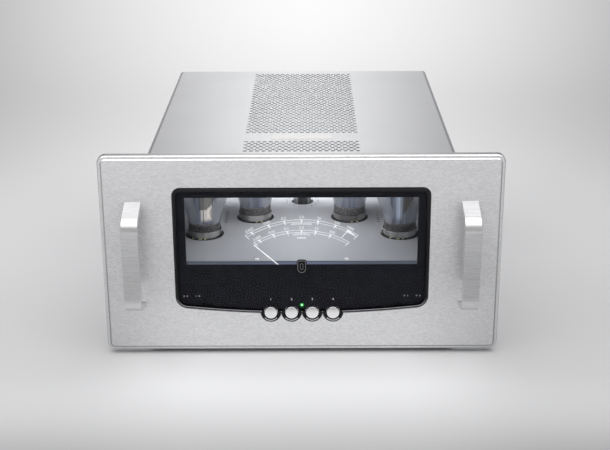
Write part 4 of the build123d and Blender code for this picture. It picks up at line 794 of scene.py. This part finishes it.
class AMPLIFIER_OT_badge(bpy.types.Operator):
    """Builds the thin shield outline and the plain pill on the tab over the needle's pivot"""

    bl_idname = "amplifier.badge"
    bl_label = "Badge"

    # Half width, half height and line width, and the depth of both lines
    shield = (0.0043, 0.0068, 0.0006)
    pill = (0.0015, 0.0036, 0.0004)
    depth = 0.0003

    def execute(self, context):
        silver = polished("badge_silver", (0.30, 0.30, 0.32), 0.3)
        centre = front_centre("pivot_badge") - Vector((0, 0.00004, 0))
        for name, sizes in (("badge_outline", self.shield), ("badge_pill", self.pill)):
            line = bmesh.new()
            self.add_outline(line, centre, *sizes)
            piece_from(name, line, silver)
        return {"FINISHED"}

    def add_outline(self, mesh, middle, half, tall, width):
        """Adds a closed line: straight sides, small corners on top, a half round below."""
        x, y, z = middle
        top, turn_z = z + tall, z - tall + half
        corner = half * 0.45
        add_arc(mesh, (x, y, turn_z), half, -math.pi, 0, width, self.depth, 24)
        for side in (-1, 1):
            edge = x + side * half
            add_bar(mesh, (edge, y, turn_z), (edge, y, top - corner), width, self.depth)
            first = 0 if side > 0 else math.pi / 2
            centre = (edge - side * corner, y, top - corner)
            add_arc(mesh, centre, corner, first, first + math.pi / 2, width, self.depth, 8)
        add_bar(mesh, (x - half + corner, y, top), (x + half - corner, y, top), width, self.depth)


class AMPLIFIER_OT_indicators(bpy.types.Operator):
    """Adds plain numerals, the lamp's halo, the painted highlight below each button and the bezel's glint"""

    bl_idname = "amplifier.indicators"
    bl_label = "Indicators"

    # Where the numerals stand: over each button, and from the middle of the mask
    button_rise = 0.0145
    side_places = (0.1175, 0.131)
    # Sizes of the halo and of the lines round the buttons: the painted highlights below them and the glint's
    # clearance
    halo_radius = 0.0030
    rim_radius = 0.0090
    rim_ends = (math.radians(-138), math.radians(-42))
    glint_clearance = 0.0112

    def execute(self, context):
        self.add_numerals()
        self.add_rims()
        self.add_edge_glint()
        self.add_halo()
        return {"FINISHED"}

    def add_numerals(self):
        """Plain numerals over the buttons and by the lamps at the mask's sides."""
        grey = glowing("mask_numerals", (0.5, 0.5, 0.5), (0.6, 0.6, 0.62), 0.25, 0.9)
        marks = bmesh.new()
        for number, node in enumerate(BUTTONS, start=1):
            centre = front_centre(node, MASK_Y) + Vector((0, 0, self.button_rise))
            add_text(marks, str(number), 0.0024, centre, lift=0.0001)
        middle = front_centre("monitor_leds", MASK_Y).z
        for side in (-1, 1):
            for number, x in enumerate(self.side_places, start=1):
                add_text(marks, str(number), 0.0016, (side * x, MASK_Y, middle), lift=0.0001)
        piece_from("mask_numerals", marks, grey)

    def add_rims(self):
        """A painted highlight: a pale line along the rim below each button."""
        pale = polished("rim_highlight", (0.70, 0.70, 0.72), 0.35)
        rims = bmesh.new()
        for node in BUTTONS:
            centre = front_centre(node, BEZEL_Y - 0.00005)
            add_arc(rims, centre, self.rim_radius, *self.rim_ends, 0.0009, 0.0002, 24)
        piece_from("rim_highlights", rims, pale)

    def add_edge_glint(self):
        """The thin line of light along the bezel's rounded outer edge, strongest along the bottom."""
        f = Finish("edge_glint")
        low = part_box("window_bezel")[0]
        upper = f.smooth(f.axis("Z"), low.z + 0.02, low.z + 0.03)
        fine = f.noise(300)
        tone = f.blend(upper, (0.62, 0.62, 0.64), (0.035, 0.035, 0.04))
        shine = f.surface(Base_Color=tone, Metallic=1.0, Roughness=0.3 + fine * 0.1,
                          Normal=f.bump(fine, 0.00001))
        glint = bmesh.new()
        buttons = [front_centre(node) for node in BUTTONS]
        for first, last in self.front_outline():
            middle = (first + last) / 2
            if min(math.hypot(middle.x - b.x, middle.z - b.z) for b in buttons) > self.glint_clearance:
                lift = Vector((0, 0, 0.0008 if middle.z < low.z + 0.025 else 0))
                add_bar(glint, first + lift, last + lift, 0.0005, 0.0002)
        piece_from("edge_glint", glint, shine)

    def front_outline(self, slack=0.00002):
        """The ends of every edge along the outer outline of the bezel's front."""
        shape = bmesh.new()
        shape.from_mesh(frame["nodes"]["window_bezel"].data)
        bmesh.ops.remove_doubles(shape, verts=shape.verts, dist=0.00001)
        flat = {face for face in shape.faces if all(abs(v.co.y - BEZEL_Y) < slack for v in face.verts)}
        rim = {edge for edge in shape.edges if sum(face in flat for face in edge.link_faces) == 1}
        todo = [max((vert for edge in rim for vert in edge.verts), key=lambda vert: vert.co.x)]
        found = set()
        while todo:
            vert = todo.pop()
            for edge in rim.intersection(vert.link_edges) - found:
                found.add(edge)
                todo.append(edge.other_vert(vert))
        ends = [tuple(vert.co.copy() for vert in edge.verts) for edge in found]
        shape.free()
        return ends

    def add_halo(self):
        """A round film over the mask in which the green lamp's glow fades out."""
        centre = front_centre("status_led", MASK_Y - 0.0001)
        place = Matrix.Translation(centre) @ Matrix.Rotation(math.radians(90), 4, "X")
        halo = bmesh.new()
        radius = self.halo_radius
        bmesh.ops.create_cone(
            halo, cap_ends=True, segments=32, radius1=radius, radius2=radius, depth=0.00006, matrix=place
        )
        f = Finish("lamp_halo")
        fade = f.span(f.reach(centre), 0.0009, 0.0015, 0.0014, radius)
        through = f.node("ShaderNodeBsdfTransparent")
        glow = f.node("ShaderNodeEmission", {}, {"Color": (0.05, 1.0, 0.15, 1.0), "Strength": 0.5})
        film = f.finish(f.node("ShaderNodeMixShader", {}, {0: fade * 0.4, 1: through, 2: glow}))
        piece_from("lamp_halo", halo, film)


class AMPLIFIER_OT_valves(bpy.types.Operator):
    """Adds the valves' bands, seams, getters, painted shadow in the openings and contacts, and painted shadow in
    the deck's slots
    """

    bl_idname = "amplifier.valves"
    bl_label = "Valve details"

    # Seams: how far right and ahead of the valve's axis, and from which height to which over the deck
    seam_places = ((-0.0105, 0.0073), (0.0, 0.0113), (0.0105, 0.0073))
    seam_reach = (0.016, 0.065)
    contact_radius = 0.0213
    # Painted shadow in the slots: its size, the step from one to the next, and its turn in degrees
    slot_size = (0.0048, 0.0021, 0.0004)
    slot_step = 0.0074
    slot_turn = 20

    def execute(self, context):
        places = loose_places("power_tube_bases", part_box("power_tube_bases")[1].z)
        self.add_bands(places)
        self.add_seams(places)
        self.add_getters(places)
        self.add_openings(places)
        self.add_contacts(places)
        self.add_slot_shades()
        return {"FINISHED"}

    def add_bands(self, places):
        """The mottled band of cement and printing inside the foot of each bulb."""
        f = Finish("valve_band")
        fuzz = f.noise((900, 900, 300), 3.0)
        tone = f.blend(f.smooth(fuzz, 0.35, 0.7), (0.16, 0.15, 0.145), (0.42, 0.385, 0.37))
        mottled = f.surface(Base_Color=tone, Roughness=0.7, Normal=f.bump(fuzz, 0.0002))
        bands = bmesh.new()
        for place in places:
            add_ring(bands, place, BAND_SECTION, place.z)
        piece_from("valve_bands", bands, mottled)

    def add_seams(self, places):
        """The bright seams down each anode."""
        bright = polished("anode_seam", (0.75, 0.76, 0.8), 0.25)
        seams = bmesh.new()
        for place in places:
            for x, ahead in self.seam_places:
                low, high = (Vector((place.x + x, place.y - ahead, DECK_TOP + z)) for z in self.seam_reach)
                add_rod(seams, low, high, 0.0007)
        piece_from("anode_seams", seams, bright)

    def add_getters(self, places):
        """The silvery flash inside the dome of each bulb."""
        f = Finish("getter_flash")
        edge = f.noise(120, 3.0)
        tone = f.blend(f.smooth(edge, 0.4, 0.6), (0.70, 0.66, 0.58), (0.86, 0.83, 0.76))
        flash = f.surface(Base_Color=tone, Metallic=0.9, Roughness=0.3 + edge * 0.2)
        domes = bmesh.new()
        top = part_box("power_tube_glass")[1].z
        for place in places:
            add_ring(domes, place, GETTER_SECTION, top, closed=False)
        shell = piece_from("getter_flashes", domes, flash)
        shell.modifiers.new("wall", "SOLIDIFY").thickness = 0.0003

    def add_openings(self, places):
        """Painted shadow: a flat black ring on the deck round each collar, where the opening shows dark."""
        black = satin_paint("collar_gap_shadow", (0.012, 0.012, 0.014), 0.6, 0.3, 900)
        rings = bmesh.new()
        for place in places:
            add_ring(rings, place, OPENING_SECTION, DECK_TOP + 0.00005)
        piece_from("collar_gap_shadows", rings, black)

    def add_contacts(self, places):
        """Gold contact springs that glint in the gap round each collar."""
        gold = satin_paint("contact_gold", (0.95, 0.80, 0.42), 0.25, 0.25, 700)
        springs = bmesh.new()
        for place in places:
            for degrees in FRONT_CONTACTS if abs(place.x) > 0.09 else REAR_CONTACTS:
                turn = math.radians(degrees)
                out = Vector((math.cos(turn), math.sin(turn), 0))
                across = Vector((-out.y, out.x, 0)) * 0.0009
                centre = Vector((place.x, place.y, DECK_TOP + 0.0009)) + out * self.contact_radius
                add_rod(springs, centre - across, centre + across, 0.0006)
        piece_from("contact_springs", springs, gold)

    def add_slot_shades(self):
        """Painted shadow: a dark sheet just under the top of each slot in the deck."""
        shadow_sheet = rubber("slot_shadow", (0.03, 0.03, 0.034))
        shades = bmesh.new()
        row_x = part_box("side_panel_right")[1].x - 0.0795
        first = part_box("front_panel")[0].y + 0.147
        for side in (-1, 1):
            for i in range(6):
                place = Matrix.Translation((side * row_x, first + i * self.slot_step, DECK_TOP - 0.0005))
                turn = Matrix.Rotation(math.radians(side * self.slot_turn), 4, "Z")
                size = Matrix.Diagonal((*self.slot_size, 1.0))
                bmesh.ops.create_cube(shades, size=1.0, matrix=place @ turn @ size)
        piece_from("slot_shades", shades, shadow_sheet)


class AMPLIFIER_OT_stage(bpy.types.Operator):
    """Builds the camera, the lamps and the pale sweep behind the amplifier"""

    bl_idname = "amplifier.stage"
    bl_label = "Stage"

    def execute(self, context):
        stage = context.scene.amplifier_stage
        self.add_camera(context.scene, stage)
        self.add_sweep(context.scene, stage.sweep_steps)
        self.add_lamps(context.scene, stage)
        self.set_world(context.scene, stage)
        context.scene.view_settings.view_transform = "Standard"
        return {"FINISHED"}

    def add_camera(self, scene, stage):
        data = bpy.data.cameras.new("camera")
        data.sensor_width = 36.0
        data.lens = stage.focal_length
        camera = bpy.data.objects.new("camera", data)
        turn = Matrix.Rotation(stage.heading, 4, "Z") @ Matrix.Rotation(math.pi / 2 - stage.pitch, 4, "X")
        camera.matrix_world = Matrix.Translation(stage.eye) @ turn @ Matrix.Rotation(stage.roll, 4, "Z")
        scene.collection.objects.link(camera)
        scene.camera = camera

    def add_sweep(self, scene, steps):
        """A floor that curves up into a wall behind."""
        back, radius, half, front, height = 1.0, 1.1, 6.0, -6.0, 4.5
        edge = [Vector((-half, front, 0)), Vector((-half, back, 0))]
        for i in range(1, steps + 1):
            turn = math.radians(90 * i / steps)
            edge.append(Vector((-half, back + radius * math.sin(turn), radius * (1 - math.cos(turn)))))
        edge.append(Vector((-half, back + radius, height)))
        sweep = bmesh.new()
        verts = [sweep.verts.new(point) for point in edge]
        edges = [sweep.edges.new(pair) for pair in zip(verts, verts[1:])]
        made = bmesh.ops.extrude_edge_only(sweep, edges=edges)["geom"]
        moved = [item for item in made if isinstance(item, bmesh.types.BMVert)]
        bmesh.ops.translate(sweep, verts=moved, vec=(2 * half, 0, 0))
        bmesh.ops.recalc_face_normals(sweep, faces=sweep.faces)
        for face in sweep.faces:
            face.smooth = True
        data = bpy.data.meshes.new("sweep")
        sweep.to_mesh(data)
        sweep.free()
        floor = bpy.data.objects.new("sweep", data)
        scene.collection.objects.link(floor)
        data.materials.append(self.sweep_finish(scene.amplifier_colours.floor))

    def sweep_finish(self, base):
        """Pale paper: lit like any surface near the object, with painted shade in its tone there, and its own
        light further back.
        """
        f = Finish("sweep_paper")
        x, y, z = f.axis("X"), f.axis("Y"), f.axis("Z")
        off, ahead = f.size(x), 0 - y

        # Painted shade on the paper near the object: darker to its sides, on the right, and in a band ahead of
        # it
        beyond = f.smooth(y, 0.1, 0.6)
        right = f.smooth(x, -0.35, 0.45)
        dip = f.span(ahead, 0.28, 0.50, 0.50, 0.75)
        near_floor = f.smooth(ahead, -0.6, 0.1)
        front_floor = f.smooth(ahead, 0.55, 0.80)
        spread = 0.21 + f.smooth(ahead, -0.1, 0.2) * 0.06
        side = f.smooth(off, 0.10, 0.26) * 0.68 * spread * (1 - f.smooth(ahead, 0.27, 0.40) * 0.67)
        side = side * (1 - beyond) + f.larger(off - 0.17, 0.0) * 0.76 * beyond
        tone = 0.96 - side - right * 0.05 - dip * 0.41 - near_floor * 0.11 + front_floor * 0.04
        paper = f.node("ShaderNodeBsdfDiffuse", {}, {"Color": f.blend(tone, (0.0, 0.0, 0.0), base)})

        # Its own light further back: widest on the floor, and gathered in the middle up the wall
        low_level = 1.0 - off ** 1.43 * 0.82 - (1 - f.smooth(y, 0.6, 1.7)) * 0.16
        high_level = 1.12 - f.size(x + 0.03) * 1.85
        rise = f.smooth(z, 0.2, 0.5)
        level = low_level * (1 - rise) + high_level * rise
        glow_colour = f.blend(level, (0.16, 0.16, 0.17), (1.0, 1.0, 1.0))
        glow = f.node("ShaderNodeEmission", {}, {"Color": glow_colour, "Strength": 1.0})

        rays = f.node("ShaderNodeLightPath", output="Is Camera Ray")
        for kind in ("Is Glossy Ray", "Is Transmission Ray"):
            rays = rays + f.node("ShaderNodeLightPath", output=kind)
        seen = f.math("MINIMUM", rays, 1.0)
        far = f.smooth(y, 0.4, 1.5)
        return f.finish(f.node("ShaderNodeMixShader", {}, {0: seen * far, 1: paper, 2: glow}))

    def add_lamps(self, scene, stage):
        """A wide softbox overhead and three small lamps under the cover."""
        under_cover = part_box("side_panel_left")[1].z - 0.004
        inside = stage.inside_power
        lamps = (
            ("top_softbox", (0.0, -0.9, 2.5), (0.0, -0.3, 0.0), (5.0, 3.2), stage.top_power, False),
            ("inside_lamp", (0.0, -0.11, under_cover), (0.0, -0.12, DECK_TOP), (0.10, 0.12), inside * 0.8, True),
            ("front_inside_lamp", (0.0, -0.184, under_cover - 0.002), (0.0, -0.10, DECK_TOP), (0.26, 0.01),
             inside * 0.22, True),
            ("rear_inside_lamp", (0.0, 0.05, under_cover), (0.0, 0.22, 0.10), (0.25, 0.04), inside * 9, True),
        )
        for lamp in lamps:
            self.add_area(scene, *lamp)

    def add_area(self, scene, name, place, target, size, power, hidden):
        """A rectangular lamp that faces its target; a hidden one isn't mirrored in any surface."""
        data = bpy.data.lights.new(name, "AREA")
        data.shape = "RECTANGLE"
        data.size, data.size_y = size
        data.energy = power
        lamp = bpy.data.objects.new(name, data)
        lamp.location = place
        lamp.rotation_euler = (Vector(target) - Vector(place)).to_track_quat("-Z", "Y").to_euler()
        lamp.visible_camera = False
        if hidden:
            lamp.visible_glossy = False
            lamp.visible_transmission = False
        scene.collection.objects.link(lamp)

    def set_world(self, scene, stage):
        world = bpy.data.worlds.new("surroundings")
        world.use_nodes = True
        background = world.node_tree.nodes["Background"]
        background.inputs["Color"].default_value = (1.0, 1.0, 1.0, 1.0)
        background.inputs["Strength"].default_value = stage.world_level
        scene.world = world


class AMPLIFIER_PT_sidebar(bpy.types.Panel):
    """Lists the amplifier's operators in the sidebar"""

    bl_label = "Amplifier"
    bl_idname = "AMPLIFIER_PT_sidebar"
    bl_space_type = "VIEW_3D"
    bl_region_type = "UI"
    bl_category = "Amplifier"

    def draw(self, context):
        for operator in OPERATORS:
            self.layout.operator(operator.bl_idname)


SETTINGS = {
    "amplifier_scale": ScaleSettings,
    "amplifier_colours": ColourSettings,
    "amplifier_stage": StageSettings,
}
OPERATORS = (
    AMPLIFIER_OT_finishes,
    AMPLIFIER_OT_scale,
    AMPLIFIER_OT_light_bar,
    AMPLIFIER_OT_badge,
    AMPLIFIER_OT_indicators,
    AMPLIFIER_OT_valves,
    AMPLIFIER_OT_stage,
)


def register():
    """Registers the settings, the operators and the sidebar."""
    for name, group in SETTINGS.items():
        bpy.utils.register_class(group)
        setattr(bpy.types.Scene, name, PointerProperty(type=group))
    for operator in OPERATORS:
        bpy.utils.register_class(operator)
    bpy.utils.register_class(AMPLIFIER_PT_sidebar)


def unregister():
    """Takes away what register added."""
    bpy.utils.unregister_class(AMPLIFIER_PT_sidebar)
    for operator in reversed(OPERATORS):
        bpy.utils.unregister_class(operator)
    for name, group in SETTINGS.items():
        delattr(bpy.types.Scene, name)
        bpy.utils.unregister_class(group)


def main():
    """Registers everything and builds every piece."""
    register()
    bpy.ops.amplifier.finishes()
    bpy.ops.amplifier.scale()
    bpy.ops.amplifier.light_bar()
    bpy.ops.amplifier.badge()
    bpy.ops.amplifier.indicators()
    bpy.ops.amplifier.valves()
    bpy.ops.amplifier.stage()


if __name__ == "__main__":
    main()
